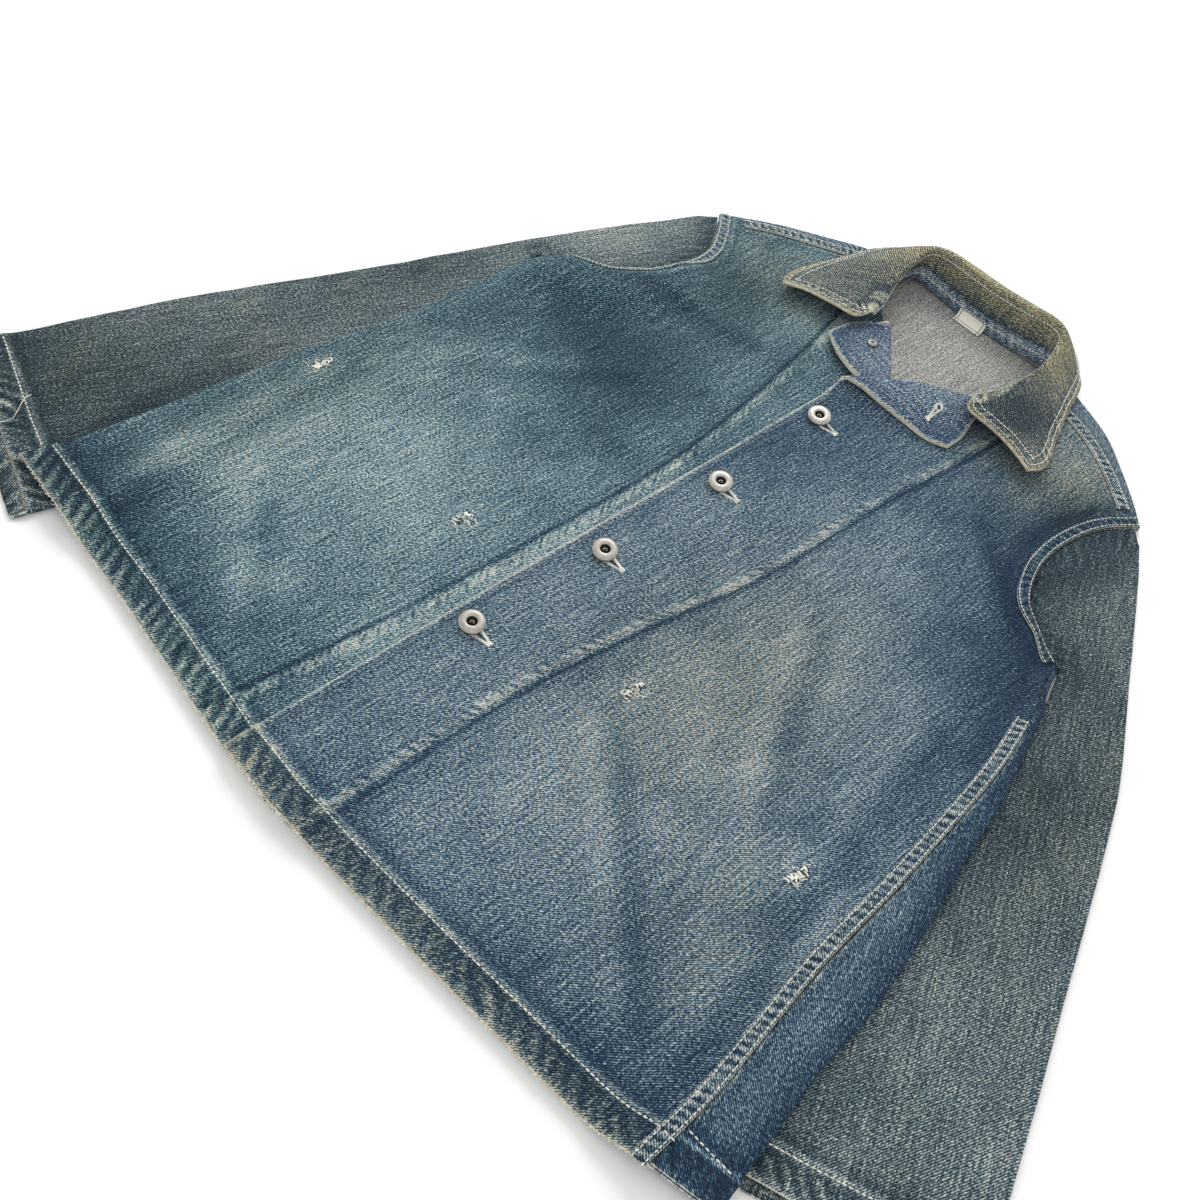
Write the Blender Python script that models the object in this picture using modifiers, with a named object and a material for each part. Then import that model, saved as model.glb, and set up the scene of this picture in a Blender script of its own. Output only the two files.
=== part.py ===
# A washed denim work jacket, laid flat on its back with its lapels turned out.
# Blender 4.5, metres, +Z up. The script's own sizes are in millimetres and become
# metres where a mesh is made. Seen from above, +Y runs from the hem to the neck and
# +X to the wearer's left. The jacket rests on z = 0.

import bpy
import bmesh
from math import cos, pi, sin
from mathutils import Vector

MM = 0.001

# Cloth and seams
WALL = 1.2                # one layer of denim with its nap
HEM_WALL = 2.0            # turned and stitched edges
FACING_WALL = 1.0
COLLAR_WALL = 2.4         # two layers of denim
FELL_WALL = 1.0           # folded seam allowance on top of a panel
SEAM_GAP = 0.3
FELL_WIDTH = 10.0
HEM_WIDTH = 21.0

# How the layers lie on each other, from the middle of one wall to the next
LAYER = 3.6               # back to front, and the two sides of a sleeve
EDGE_RADIUS = LAYER / 2   # the rolled side of a flat tube of cloth
PLACKET_STEP = 3.3        # the left front rides over the right one
SLEEVE_LIFT = 6.4         # the body's side rides over the sleeve

# The middle of the jacket's box, measured from the first button's line at the hem
CENTRE_X = 38.5
CENTRE_Y = 365.6

# Buttons
BUTTON_PLACES = [(1.6, 163.6), (5.9, 270.0), (6.5, 377.0), (2.1, 484.0)]
TURNED_BUTTON = (-3.0, 597.4)     # on the right front before its lapel is turned out
BUTTON_RADIUS = 8.8
BUTTON_HEIGHT = 4.1
TACK_RADIUS = 4.6                 # the nail head on the inner side of a button
TACK_HEIGHT = 1.3
BUTTON_SIDES = 20

# Outlines in plan, each point as (x, y)
HEM = [(-259, 27), (-211, 22), (-131, 15), (-14, 0), (31, -3), (150, 2), (273, 9), (337, 22)]
NEAR_FOLD = [(337, 22), (331, 60), (322, 117), (318, 163), (306, 226), (295, 270),
             (282, 328), (273, 358), (260, 398), (249, 424), (243, 446)]
SIDE_SEAM = [(300, 12), (298, 60), (291, 117), (285, 163), (281, 226), (277, 270),
             (271, 328), (266, 358), (255.5, 398), (245.5, 424), (243, 446)]
FAR_FOLD = [(-259, 27), (-252, 60), (-247, 150), (-244, 225), (-237, 300), (-235, 360),
            (-237, 418), (-240, 446)]
NEAR_ARMHOLE = [(243, 446), (225, 455), (202, 468), (189, 492), (182, 525), (184, 557),
                (191, 580), (204, 600)]
FAR_ARMHOLE = [(-240, 446), (-220, 457), (-196, 470), (-180, 492), (-173, 525),
               (-177, 560), (-188, 580), (-203, 600)]
NEAR_SHOULDER = [(86, 667), (102, 661), (129, 652), (158, 636), (178, 621), (204, 600)]
FAR_SHOULDER = [(-86, 672), (-106, 667), (-138, 648), (-168, 629), (-203, 600)]
NEAR_SHOULDER_FOLD = [(74, 687), (97, 679), (134, 663), (164, 640), (186, 621), (204, 603)]
FAR_SHOULDER_FOLD = [(-76, 687), (-106, 677), (-138, 656), (-168, 635), (-203, 603)]
BACK_NECK = [(-76, 687), (-40, 682), (0, 680.5), (38, 682), (74, 687)]
LEFT_NECK = [(-2, 615), (16, 616), (34, 613), (52, 616), (66, 630), (80, 655)]
RIGHT_NECK = [(21, 621), (-2, 623), (-24, 616), (-44, 617), (-60, 634), (-78, 658)]
LEFT_EDGE = [(-14, 0), (-15, 180), (-14, 400), (-14, 540), (-15, 570), (-10, 596), (-2, 615)]
RIGHT_EDGE = [(31, -3), (29, 180), (26, 400), (27, 520), (31, 570), (29, 597), (21, 621)]
LEFT_FACING_SEAM = [(51, -2), (50, 150), (60, 250), (74, 340), (78, 468), (84, 540), (86, 600),
                    (80, 655)]
RIGHT_FACING_SEAM = [(-38, 3), (-28, 150), (-25, 250), (-25, 357), (-34, 440), (-52, 540),
                     (-68, 610), (-78, 658)]
NEAR_SLEEVE_OUTER = [(207, 597), (233, 556), (274, 484), (302, 435), (325, 392), (359, 311),
                     (385, 246), (406, 194), (426, 143), (447, 92)]
NEAR_SLEEVE_INNER = [(247, 445), (253, 428), (259, 412), (236, 386), (222, 330), (226, 250),
                     (250, 150), (305, 40)]
FAR_SLEEVE_OUTER = [(-206, 597), (-229, 523), (-254, 445), (-288, 329), (-331, 199),
                    (-364, 77), (-370, 58)]
FAR_SLEEVE_INNER = [(-244, 445), (-243, 428), (-242, 412), (-222, 388), (-196, 330),
                    (-188, 250), (-194, 150), (-221, 9)]
SLEEVE_CLEAR_Y = 412.0    # below this the body's side has risen clear of the sleeve

# Where the two fronts are turned out as lapels. The roll is a cone from low to high, a
# flap comes to rest its own height above the front below it, and the roll opens out
# under the collar over the last stretch.
LEFT_LAPEL = {"low": (-12, 525), "high": (68, 611), "side": 1, "radii": (2.2, 4.0),
              "rest": 2.4, "settle": 34.0}
RIGHT_LAPEL = {"low": (11, 554), "high": (-41, 617), "side": -1, "radii": (1.7, 4.0),
               "rest": 7.2, "settle": 30.0}
ROLL_OPENING = 28.0
FACING_END = -15.0        # where the facing stops along a roll, from its upper end
LAPEL_STACK = 6.4         # how far the left front is raised by the right lapel's roll

# Side wraps of cloth past the rolled edges
FAR_WRAP = [(20, 36), (120, 30), (250, 18), (340, 8), (400, 1.0), (460, 1.0)]
SIDE_ROWS = 13
ARM_ROWS = 8
SHOULDER_COLUMNS = 7
FACING_COLUMNS = 4
MERGE = 0.02              # points closer than this, in millimetres, become one

# Soft folds in the fronts: from (x, y) to (x, y), height, half width
FRONT_FOLDS = [((95, 175), (235, 55), 2.2, 30), ((215, 330), (262, 60), 1.6, 24),
               ((-225, 240), (-205, 45), 1.8, 26), ((-175, 470), (-60, 505), 1.4, 26),
               ((205, 430), (120, 500), 1.4, 24)]

# Collar stations from the wearer's right end to the left end, each with the neck seam,
# the roll and the outer edge as (x, y, z)
COLLAR_STATIONS = [
    ((-46, 600, 16.5), (-46, 599, 20.5), (-110, 568, 16.0)),
    ((-50, 611, 13.5), (-47, 612, 22.5), (-116, 583, 12.5)),
    ((-60, 633, 10.0), (-54, 633, 27.0), (-116, 609, 9.4)),
    ((-66, 657, 8.6), (-59, 658, 31.5), (-109, 640, 9.0)),
    ((-63, 678, 7.0), (-59, 682, 35.0), (-98, 680, 8.6)),
    ((-46, 681, 4.0), (-48, 689, 36.6), (-66, 716, 6.4)),
    ((-24, 680.2, 2.2), (-25, 689, 37.0), (-32, 730, 3.2)),
    ((0, 679.2, 2.0), (0, 689, 37.0), (-2, 732, 2.4)),
    ((24, 680.2, 2.2), (26, 692, 37.0), (30, 733, 3.2)),
    ((46, 682, 4.0), (47, 697, 36.6), (62, 720, 6.4)),
    ((64, 680, 7.0), (61, 692, 35.0), (91, 686, 8.6)),
    ((70, 660, 8.6), (70, 664, 30.5), (105, 650, 9.0)),
    ((68, 634, 10.0), (71, 638, 26.0), (117, 618, 9.4)),
    ((62, 606, 18.4), (69, 610, 25.0), (130, 586, 11.5)),
    ((59, 590, 19.4), (60, 589, 22.8), (126, 567, 14.5)),
]

STAND_SHARE = 0.36        # of a collar section's length, from the neck seam to the roll

LEAF_BOW = 12.0           # how far a leaf's lower edge bows out, near the collar's ends
LEAF_BOW_REACH = 0.13

LABEL_LEFT, LABEL_WIDTH = -17.0, 25.0
LABEL_SECTION = [(670.6, 2.2), (674.6, 2.9), (677.0, 5.6), (678.0, 9.6)]

MATERIALS = {
    "denim_body": ((0.055, 0.105, 0.165), 0.9, 0.0),
    "denim_sleeve": ((0.060, 0.080, 0.100), 0.92, 0.0),
    "denim_facing": ((0.050, 0.110, 0.220), 0.9, 0.0),
    "denim_collar": ((0.110, 0.120, 0.110), 0.92, 0.0),
    "felled_seam": ((0.140, 0.190, 0.230), 0.9, 0.0),
    "label_cloth": ((0.560, 0.520, 0.400), 0.85, 0.0),
    "button_metal": ((0.620, 0.610, 0.580), 0.35, 1.0),
}


def clear_scene():
    for thing in list(bpy.data.objects):
        bpy.data.objects.remove(thing, do_unlink=True)


def make_material(name):
    colour, roughness, metallic = MATERIALS[name]
    material = bpy.data.materials.get(name) or bpy.data.materials.new(name)
    material.use_nodes = True
    shader = material.node_tree.nodes["Principled BSDF"]
    shader.inputs["Base Color"].default_value = (*colour, 1.0)
    shader.inputs["Roughness"].default_value = roughness
    shader.inputs["Metallic"].default_value = metallic
    return material


def smooth(low, high, value):
    """A soft step from 0 at low to 1 at high."""
    share = min(max((value - low) / (high - low), 0.0), 1.0)
    return share * share * (3 - 2 * share)


def spline(points, share):
    """A point on the smooth curve through an outline's points, share from 0 to 1 of its length."""
    points = [Vector(point) for point in points]
    steps = [(b - a).length for a, b in zip(points, points[1:])]
    target = share * sum(steps)
    index = 0
    while index < len(steps) - 1 and target > steps[index]:
        target -= steps[index]
        index += 1
    t = min(target / steps[index], 1.0)
    a, b = points[index], points[index + 1]
    before = points[index - 1] if index > 0 else a * 2 - b
    after = points[index + 2] if index + 2 < len(points) else b * 2 - a
    scale_a = steps[index] / max(steps[index] + (a - before).length, 1e-6)
    scale_b = steps[index] / max(steps[index] + (after - b).length, 1e-6)
    tangent_a = (b - before) * scale_a
    tangent_b = (after - a) * scale_b
    return (a * (2 * t**3 - 3 * t**2 + 1) + tangent_a * (t**3 - 2 * t**2 + t)
            + b * (3 * t**2 - 2 * t**3) + tangent_b * (t**3 - t**2))


def across(points, value, axis=1):
    """The other coordinate of an outline where its coordinate on axis is value."""
    points = sorted(points, key=lambda point: point[axis])
    other = 1 - axis
    value = min(max(value, points[0][axis]), points[-1][axis])
    for a, b in zip(points, points[1:]):
        if value <= b[axis]:
            share = (value - a[axis]) / (b[axis] - a[axis])
            return a[other] + (b[other] - a[other]) * share
    return points[-1][other]


def shift(points, dx, dy=0.0):
    return [(x + dx, y + dy) for x, y in points]


def samples(points, count, power=1.0):
    return [spline(points, (i / count) ** power) for i in range(count + 1)]


def beside(line, distance):
    """Sampled points moved sideways, to the left of the way they run."""
    moved = []
    for k, spot in enumerate(line):
        way = (line[min(k + 1, len(line) - 1)] - line[max(k - 1, 0)]).normalized()
        moved.append(spot + Vector((-way.y, way.x)) * distance)
    return moved


def coons(bottom, top, left, right):
    """Points of a patch between four sampled sides, as rows from bottom to top."""
    columns, rows = len(bottom) - 1, len(left) - 1
    patch = []
    for j in range(rows + 1):
        v = j / rows
        row = []
        for i in range(columns + 1):
            u = i / columns
            sides = left[j] * (1 - u) + right[j] * u + bottom[i] * (1 - v) + top[i] * v
            corners = (bottom[0] * (1 - u) * (1 - v) + bottom[-1] * u * (1 - v)
                       + top[0] * (1 - u) * v + top[-1] * u * v)
            row.append(sides - corners)
        patch.append(row)
    return patch


# Heights of the layers

def over_sleeve(x, y):
    """How far the body is raised at a point by the sleeve tucked beneath it."""
    if x > 0:
        depth = x - across(NEAR_SLEEVE_INNER[3:], y) + 50 if y < SLEEVE_CLEAR_Y else x - 190
    else:
        depth = across(FAR_SLEEVE_INNER[3:], y) + 50 - x if y < SLEEVE_CLEAR_Y else -x - 185
    side = smooth(0, 44, depth)
    return SLEEVE_LIFT * side * smooth(444, SLEEVE_CLEAR_Y + 6, y)


def hem_rise(distance):
    """The wall thickens towards a turned edge, so its middle rises by half of that."""
    return (HEM_WALL - WALL) / 2 * smooth(HEM_WIDTH + 4, HEM_WIDTH, distance)


def back_height(x, y):
    hem = across(HEM, x, axis=0)
    return WALL / 2 + over_sleeve(x, y) + hem_rise(y - hem)


def soft_folds(x, y):
    height = 0.0
    for start, end, rise, half_width in FRONT_FOLDS:
        a, b, point = Vector(start), Vector(end), Vector((x, y))
        along = (point - a).dot(b - a) / (b - a).length_squared
        share = min(max(along, 0.0), 1.0)
        distance = (point - a - (b - a) * share).length / half_width
        height += rise * max(1 - distance * distance, 0.0) ** 2 * smooth(-0.2, 0.3, along)
    return height


def right_height(x, y):
    """The wearer's right front, lowest of the two at the placket."""
    edge = smooth(0, 18, x - FAR_FOLD[4][0] - 2)
    return back_height(x, y) + LAYER + soft_folds(x, y) * edge * smooth(20, 60, y)


def left_height(x, y):
    """The wearer's left front, raised where the right front and both facings lie below."""
    overlap = 1 - smooth(36, 74, x)
    edge = 1 - smooth(-26, -8, x - across(SIDE_SEAM, y))
    folds = soft_folds(x, y) * edge * smooth(20, 60, y)
    stack = LAPEL_STACK * smooth(504, 534, y) * (1 - smooth(24, 62, x))
    return back_height(x, y) + LAYER + PLACKET_STEP * overlap + folds + stack


def turn_out(x, y, lapel, height):
    """A point of a front, turned back over itself past the lapel's roll."""
    low, high = Vector(lapel["low"]), Vector(lapel["high"])
    run = (high - low).length
    way = (high - low) / run
    inward = Vector((-way.y, way.x)) * lapel["side"]
    spot = Vector((x, y)) - low
    along = spot.dot(way)
    narrow, wide = lapel["radii"]
    radius = narrow + (wide - narrow) * min(max(along / run, 0), 1)
    distance = spot.dot(inward) + radius
    limit = pi * (1 - smooth(run, run + ROLL_OPENING, along))
    if distance <= 0 or limit <= 0:
        return Vector((x, y, height(x, y)))
    foot = low + way * along - inward * radius
    base = height(foot.x, foot.y)
    turn = min(distance / radius, limit)
    beyond = distance - turn * radius
    reach = radius * sin(turn) + beyond * cos(turn)
    rise = radius * (1 - cos(turn)) + beyond * sin(turn)
    plan = low + way * along + inward * (reach - radius)
    settled = smooth(0, lapel["settle"], beyond) * smooth(0.9, 1.0, turn / pi)
    rise += (height(plan.x, plan.y) + lapel["rest"] - base - rise) * settled
    return Vector((plan.x, plan.y, base + rise))


# Mesh making

def roll_cuts(mesh, lapel, first_y=520):
    """Adds edges along a roll so that a coarse panel turns over cleanly there."""
    low, high = Vector((*lapel["low"], 0)), Vector((*lapel["high"], 0))
    way = (high - low).normalized()
    inward = Vector((-way.y, way.x, 0)) * lapel["side"]
    for step in (-6, -2, 0, 1, 2, 3, 4, 8, 13):
        near = [face for face in mesh.faces if face.calc_center_median().y > first_y]
        edges = {edge for face in near for edge in face.edges}
        verts = {vert for face in near for vert in face.verts}
        ends = [end + inward * radius * (pi * step / 4 - 1)
                for end, radius in zip((low, high), lapel["radii"])]
        cut = (ends[1] - ends[0]).normalized()
        bmesh.ops.bisect_plane(mesh, geom=[*near, *edges, *verts], dist=0.3,
                               plane_co=ends[0], plane_no=Vector((-cut.y, cut.x, 0)))


def plan_mesh(patch):
    """A grid primitive whose points are moved onto a patch of plan points."""
    rows, columns = len(patch) - 1, len(patch[0]) - 1
    mesh = bmesh.new()
    bmesh.ops.create_grid(mesh, x_segments=columns, y_segments=rows, size=0.5)
    column, row = mesh.faces.layers.int.new("column"), mesh.faces.layers.int.new("row")
    for face in mesh.faces:
        middle = face.calc_center_median()
        face[column] = int((middle.x + 0.5) * columns)
        face[row] = int((middle.y + 0.5) * rows)
    for vert in mesh.verts:
        i = round((vert.co.x + 0.5) * columns)
        j = round((vert.co.y + 0.5) * rows)
        spot = patch[j][i]
        vert.co = Vector((spot[0], spot[1], spot[2] if len(spot) > 2 else 0.0))
    return mesh


def front_mesh(patch, lapel):
    """The flat mesh of a front, with the edges that its lapel turns over."""
    mesh = plan_mesh(patch)
    roll_cuts(mesh, lapel)
    bmesh.ops.triangulate(mesh, faces=mesh.faces[:], quad_method="FIXED", ngon_method="EAR_CLIP")
    return mesh


def finish_piece(name, mesh, material, wall, collection, root, turned_edge=False):
    """Gives an open surface its wall, material and place; tagged points get a thick edge."""
    bmesh.ops.remove_doubles(mesh, verts=mesh.verts, dist=MERGE)
    bmesh.ops.triangulate(mesh, faces=[face for face in mesh.faces if len(face.verts) > 4])
    mesh.verts.index_update()
    edge_points = [vert.index for vert in mesh.verts if vert.tag]
    data = bpy.data.meshes.new(name)
    for vert in mesh.verts:
        vert.co = (vert.co - Vector((CENTRE_X, CENTRE_Y, 0))) * MM
    mesh.to_mesh(data)
    mesh.free()
    piece = bpy.data.objects.new(name, data)
    collection.objects.link(piece)
    piece.parent = root
    data.materials.append(make_material(material))
    shell = piece.modifiers.new("cloth wall", "SOLIDIFY")
    shell.offset = 0.0
    shell.thickness = wall * MM
    if turned_edge:
        group = piece.vertex_groups.new(name="turned edge")
        group.add(edge_points, 1.0, "REPLACE")
        shell.vertex_group = group.name
        shell.thickness_vertex_group = wall / HEM_WALL
        shell.thickness = HEM_WALL * MM
    return piece


def rolled(step_count, radius, wrap):
    """Distances past a rolled edge: round the roll and then along the wrap."""
    turns = [pi * radius * k / step_count for k in range(1, step_count + 1)]
    return turns + [pi * radius + wrap / 2, pi * radius + wrap]


def make_back(collection, root):
    neck_columns = 6
    columns = 2 * SHOULDER_COLUMNS + neck_columns
    radius = EDGE_RADIUS
    far = [(across(FAR_FOLD, y) + radius + across(FAR_WRAP, y, axis=0) + 2 * SEAM_GAP, y)
           for y in (27, 60, 120, 180, 250, 300, 340, 370, 400, 430)]
    far = samples(far + [FAR_FOLD[-1]], SIDE_ROWS)
    far = far[:-1] + beside(samples(FAR_ARMHOLE, ARM_ROWS), -SEAM_GAP)
    near = samples(shift(NEAR_FOLD, -radius), SIDE_ROWS)
    near = near[:-1] + beside(samples(NEAR_ARMHOLE, ARM_ROWS), SEAM_GAP)

    far_fold = samples(FAR_SHOULDER_FOLD[::-1], SHOULDER_COLUMNS)
    far_seam = samples(FAR_SHOULDER[::-1], SHOULDER_COLUMNS)
    near_fold = samples(NEAR_SHOULDER_FOLD, SHOULDER_COLUMNS)
    near_seam = samples(NEAR_SHOULDER, SHOULDER_COLUMNS)
    neck = samples(BACK_NECK, neck_columns)[1:-1]
    outward = [(a - b).normalized() for a, b in zip(far_fold, far_seam)]
    outward += [None] * len(neck)
    outward += [(a - b).normalized() for a, b in zip(near_fold, near_seam)]
    folds, seams = far_fold + neck + near_fold, far_seam + neck + near_seam
    top = [spot - way * radius if way else spot - Vector((0, 5)) for spot, way in zip(folds, outward)]

    bottom = [spot + Vector((0, 1.5)) for spot in hem_points(far[0].x, near[0].x, columns)]
    near[0], far[0], near[-1], far[-1] = bottom[-1], bottom[0], top[-1], top[0]
    rows = []
    for j, row in enumerate(coons(bottom, top, far, near)):
        edge, points = row[-1], [Vector((p.x, p.y, back_height(p.x, p.y))) for p in row]
        wrap = across(NEAR_FOLD, edge.y) - radius - across(SIDE_SEAM, edge.y) - SEAM_GAP
        for distance in rolled(4, radius, max(wrap, 0.6)):
            turn = min(distance / radius, pi)
            if j >= SIDE_ROWS:
                points.append(points[-1].copy())
                continue
            x = edge.x + radius * sin(turn) - max(distance - pi * radius, 0)
            base = back_height(min(x, edge.x), edge.y)
            points.append(Vector((x, edge.y, base + radius * (1 - cos(turn)))))
        rows.append(points)

    last = rows[-1]
    for step in (1, 2, 3, 4):
        extra = []
        for i, (spot, seam, way) in enumerate(zip(last, seams, outward)):
            turn = pi * min(step / 3, 1)
            if way is None:
                extra.append(spot + Vector((0, step * 1.25, 0)))
            elif step < 4:
                move = way * radius * sin(turn)
                extra.append(spot + Vector((move.x, move.y, radius * (1 - cos(turn)))))
            else:
                end = seam + way * SEAM_GAP
                extra.append(Vector((end.x, end.y, spot.z + LAYER)))
        rows.append(extra + [extra[-1].copy() for _ in range(len(last) - len(extra))])
    mesh = plan_mesh(rows)
    tag_hem(mesh)
    return finish_piece("back", mesh, "denim_body", WALL, collection, root, True)


def tag_hem(mesh):
    for vert in mesh.verts:
        vert.tag = vert.co.y - across(HEM, vert.co.x, axis=0) < HEM_WIDTH + 2


def hem_points(start_x, end_x, count):
    xs = [start_x + (end_x - start_x) * i / count for i in range(count + 1)]
    return [Vector((x, across(HEM, x, axis=0))) for x in xs]


def front_patch(free_edge, facing_seam, side, neck, shoulder):
    """Plan points of a front: free edge, facing seam, and then out to the side."""
    rows, side_columns = SIDE_ROWS + ARM_ROWS, SHOULDER_COLUMNS + 1
    free, seam = samples(free_edge, rows), samples(facing_seam, rows)
    strip_hem = hem_points(free[0].x, seam[0].x, FACING_COLUMNS)
    body_hem = hem_points(seam[0].x, side[0].x, side_columns)
    strip_top = samples(neck, FACING_COLUMNS)
    body_top = [Vector(neck[-1])] + shoulder
    free[0], seam[0], side[0] = strip_hem[0], strip_hem[-1], body_hem[-1]
    free[-1], seam[-1], side[-1] = strip_top[0], strip_top[-1], body_top[-1]
    strip = coons(strip_hem, strip_top, free, seam)
    body = coons(body_hem, body_top, seam, side)
    return [a + b[1:] for a, b in zip(strip, body)]


def left_front_patch():
    seam = samples(shift(SIDE_SEAM, -1.5 * SEAM_GAP), SIDE_ROWS)
    armhole = beside(samples(NEAR_ARMHOLE, ARM_ROWS), SEAM_GAP)
    shoulder = beside(samples(NEAR_SHOULDER, SHOULDER_COLUMNS), -SEAM_GAP)
    return front_patch(LEFT_EDGE, LEFT_FACING_SEAM, seam + armhole[1:], LEFT_NECK, shoulder)


def right_front_patch():
    fold = samples(shift(FAR_FOLD, EDGE_RADIUS), SIDE_ROWS)
    armhole = beside(samples(FAR_ARMHOLE, ARM_ROWS), -SEAM_GAP)
    shoulder = beside(samples(FAR_SHOULDER, SHOULDER_COLUMNS), SEAM_GAP)
    side = fold[:-1] + armhole
    return front_patch(RIGHT_EDGE, RIGHT_FACING_SEAM, side, RIGHT_NECK, shoulder)


def make_left_front(collection, root):
    mesh = front_mesh(left_front_patch(), LEFT_LAPEL)
    tag_hem(mesh)
    for vert in mesh.verts:
        vert.co = turn_out(vert.co.x, vert.co.y, LEFT_LAPEL, left_height)
    return finish_piece("left_front", mesh, "denim_body", WALL, collection, root, True)


def make_right_front(collection, root):
    radius = EDGE_RADIUS
    rows = []
    for j, row in enumerate(right_front_patch()):
        y = row[-1].y
        points = list(row)
        for distance in rolled(4, radius, across(FAR_WRAP, y, axis=0)):
            past = distance if j < SIDE_ROWS else 0
            points.append(Vector((row[-1].x - past, y)))
        rows.append(points)
    mesh = front_mesh(rows, RIGHT_LAPEL)
    for vert in mesh.verts:
        x, y = vert.co.x, vert.co.y
        vert.tag = y - across(HEM, max(x, HEM[0][0]), axis=0) < HEM_WIDTH + 2
        fold = across(FAR_FOLD, y) + radius
        past = fold - x
        if y > FAR_FOLD[-1][1] - 2 or past <= 0.01:
            vert.co = turn_out(x, y, RIGHT_LAPEL, right_height)
        elif past < pi * radius:
            turn = past / radius
            vert.co = Vector((fold - radius * sin(turn), y,
                              back_height(fold, y) + LAYER - radius * (1 - cos(turn))))
        else:
            x = fold + past - pi * radius
            vert.co = Vector((x, y, back_height(x, y)))
    return finish_piece("right_front", mesh, "denim_body", WALL, collection, root, True)


def make_facing(name, front, lapel, height, collection, root):
    """The clean inner strip of a front, made from the front's own points moved inwards."""
    depth = WALL / 2 + SEAM_GAP + FACING_WALL / 2
    mesh = front_mesh(front, lapel)
    low, high = Vector((*lapel["low"], 0)), Vector((*lapel["high"], 0))
    way = (high - low).normalized()
    column, row = mesh.faces.layers.int["column"], mesh.faces.layers.int["row"]
    outside = [face for face in mesh.faces if face[column] >= FACING_COLUMNS or face[row] < 1
               or (face.calc_center_median() - high).dot(way) > FACING_END]
    for vert in mesh.verts:
        vert.co = turn_out(vert.co.x, vert.co.y, lapel, height)
    mesh.normal_update()
    for vert in mesh.verts:
        vert.co -= vert.normal * depth * lapel["side"]
    bmesh.ops.delete(mesh, geom=outside, context="FACES")
    return finish_piece(name, mesh, "denim_facing", FACING_WALL, collection, root)


def sleeve_rows(armhole, inner, outer, arm_rows, rows, gap):
    """Pairs of points, one on the armhole or underarm line and one on the outer edge."""
    armhole = beside(samples(armhole, arm_rows), gap)[-2::-1]
    inner = samples(inner, rows)
    outer_line = [spline(outer, share) for share in
                  [0.02 + 0.29 * k / arm_rows for k in range(arm_rows + 1)][1:]]
    outer_line += [spline(outer, 0.31 + 0.69 * k / rows) for k in range(1, rows + 1)]
    return list(zip(armhole + inner[1:], outer_line)), arm_rows - 1


def make_sleeve(name, armhole, inner, outer, gap, cuff_sag, collection, root):
    arm_rows, rows, flat = ARM_ROWS, 13, 6
    pairs, armpit_row = sleeve_rows(armhole, inner, outer, arm_rows, rows, gap)
    cuff_in, cuff_out = pairs[-1]
    cuff_line = (cuff_in - cuff_out).normalized()
    radius = EDGE_RADIUS
    patch = []
    for j, (start, end) in enumerate(pairs):
        way = (end - start).normalized()
        closed = j > armpit_row
        inset = radius if closed else 0.0
        near, far = start + way * inset, end - way * radius
        base = WALL / 2
        if j >= len(pairs) - 2:
            base = HEM_WALL / 2
        row = []
        for k in range(3):
            turn = pi / 2 * (1 - k / 2)
            reach, rise = (radius * sin(turn), radius * cos(turn)) if closed else (0, radius)
            spot = near - way * reach
            row.append(Vector((spot.x, spot.y, base + radius + rise)))
        for k in range(1, flat + 1):
            spot = near + (far - near) * k / flat
            row.append(Vector((spot.x, spot.y, base + 2 * radius)))
        for k in range(1, 5):
            turn = pi * k / 4
            spot = far + way * radius * sin(turn)
            row.append(Vector((spot.x, spot.y, base + radius + radius * cos(turn))))
        for k in range(1, flat + 1):
            spot = far + (near - far) * k / flat
            row.append(Vector((spot.x, spot.y, base)))
        for k in range(1, 3):
            turn = pi / 2 * k / 2
            reach, rise = (radius * sin(turn), radius * cos(turn)) if closed else (0, radius)
            spot = near - way * reach
            row.append(Vector((spot.x, spot.y, base + radius - rise)))
        if j == len(pairs) - 1:
            row = [sag_cuff(point, near, far, base, cuff_sag) for point in row]
        patch.append(row)
    mesh = plan_mesh(patch)
    for vert in mesh.verts:
        out = (Vector((vert.co.x, vert.co.y)) - cuff_out)
        depth = abs(out.x * cuff_line.y - out.y * cuff_line.x)
        vert.tag = depth < HEM_WIDTH + 2
    return finish_piece(name, mesh, "denim_sleeve", WALL, collection, root, True)


def sag_cuff(point, near, far, base, sag):
    """The cuff's lower layer shows a little past the upper one."""
    lower = 1 - smooth(base, base + LAYER, point.z)
    along = (far - near).normalized()
    down = Vector((along.y, -along.x)) if along.x > 0 else Vector((-along.y, along.x))
    share = ((Vector((point.x, point.y)) - far).length / (far - near).length)
    push = down * sag * lower * smooth(0.1, 0.6, share)
    return point + Vector((push.x, push.y, 0))


def collar_point(station, v):
    """A point of a collar's section: up the stand, over the roll and down the leaf."""
    neck, roll, edge = (Vector(p) for p in station)
    stand_top = roll + (neck - roll) * 0.12
    if v < STAND_SHARE:
        return neck + (stand_top - neck) * v / STAND_SHARE
    t = (v - STAND_SHARE) / (1 - STAND_SHARE)
    pull_up = roll + (roll - stand_top) * 0.7
    pull_out = roll + (edge - roll) * 0.22 + Vector((0, 0, 0.10 * (roll.z - edge.z)))
    return (stand_top * (1 - t)**3 + pull_up * 3 * t * (1 - t)**2
            + pull_out * 3 * t * t * (1 - t) + edge * t**3)


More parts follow.
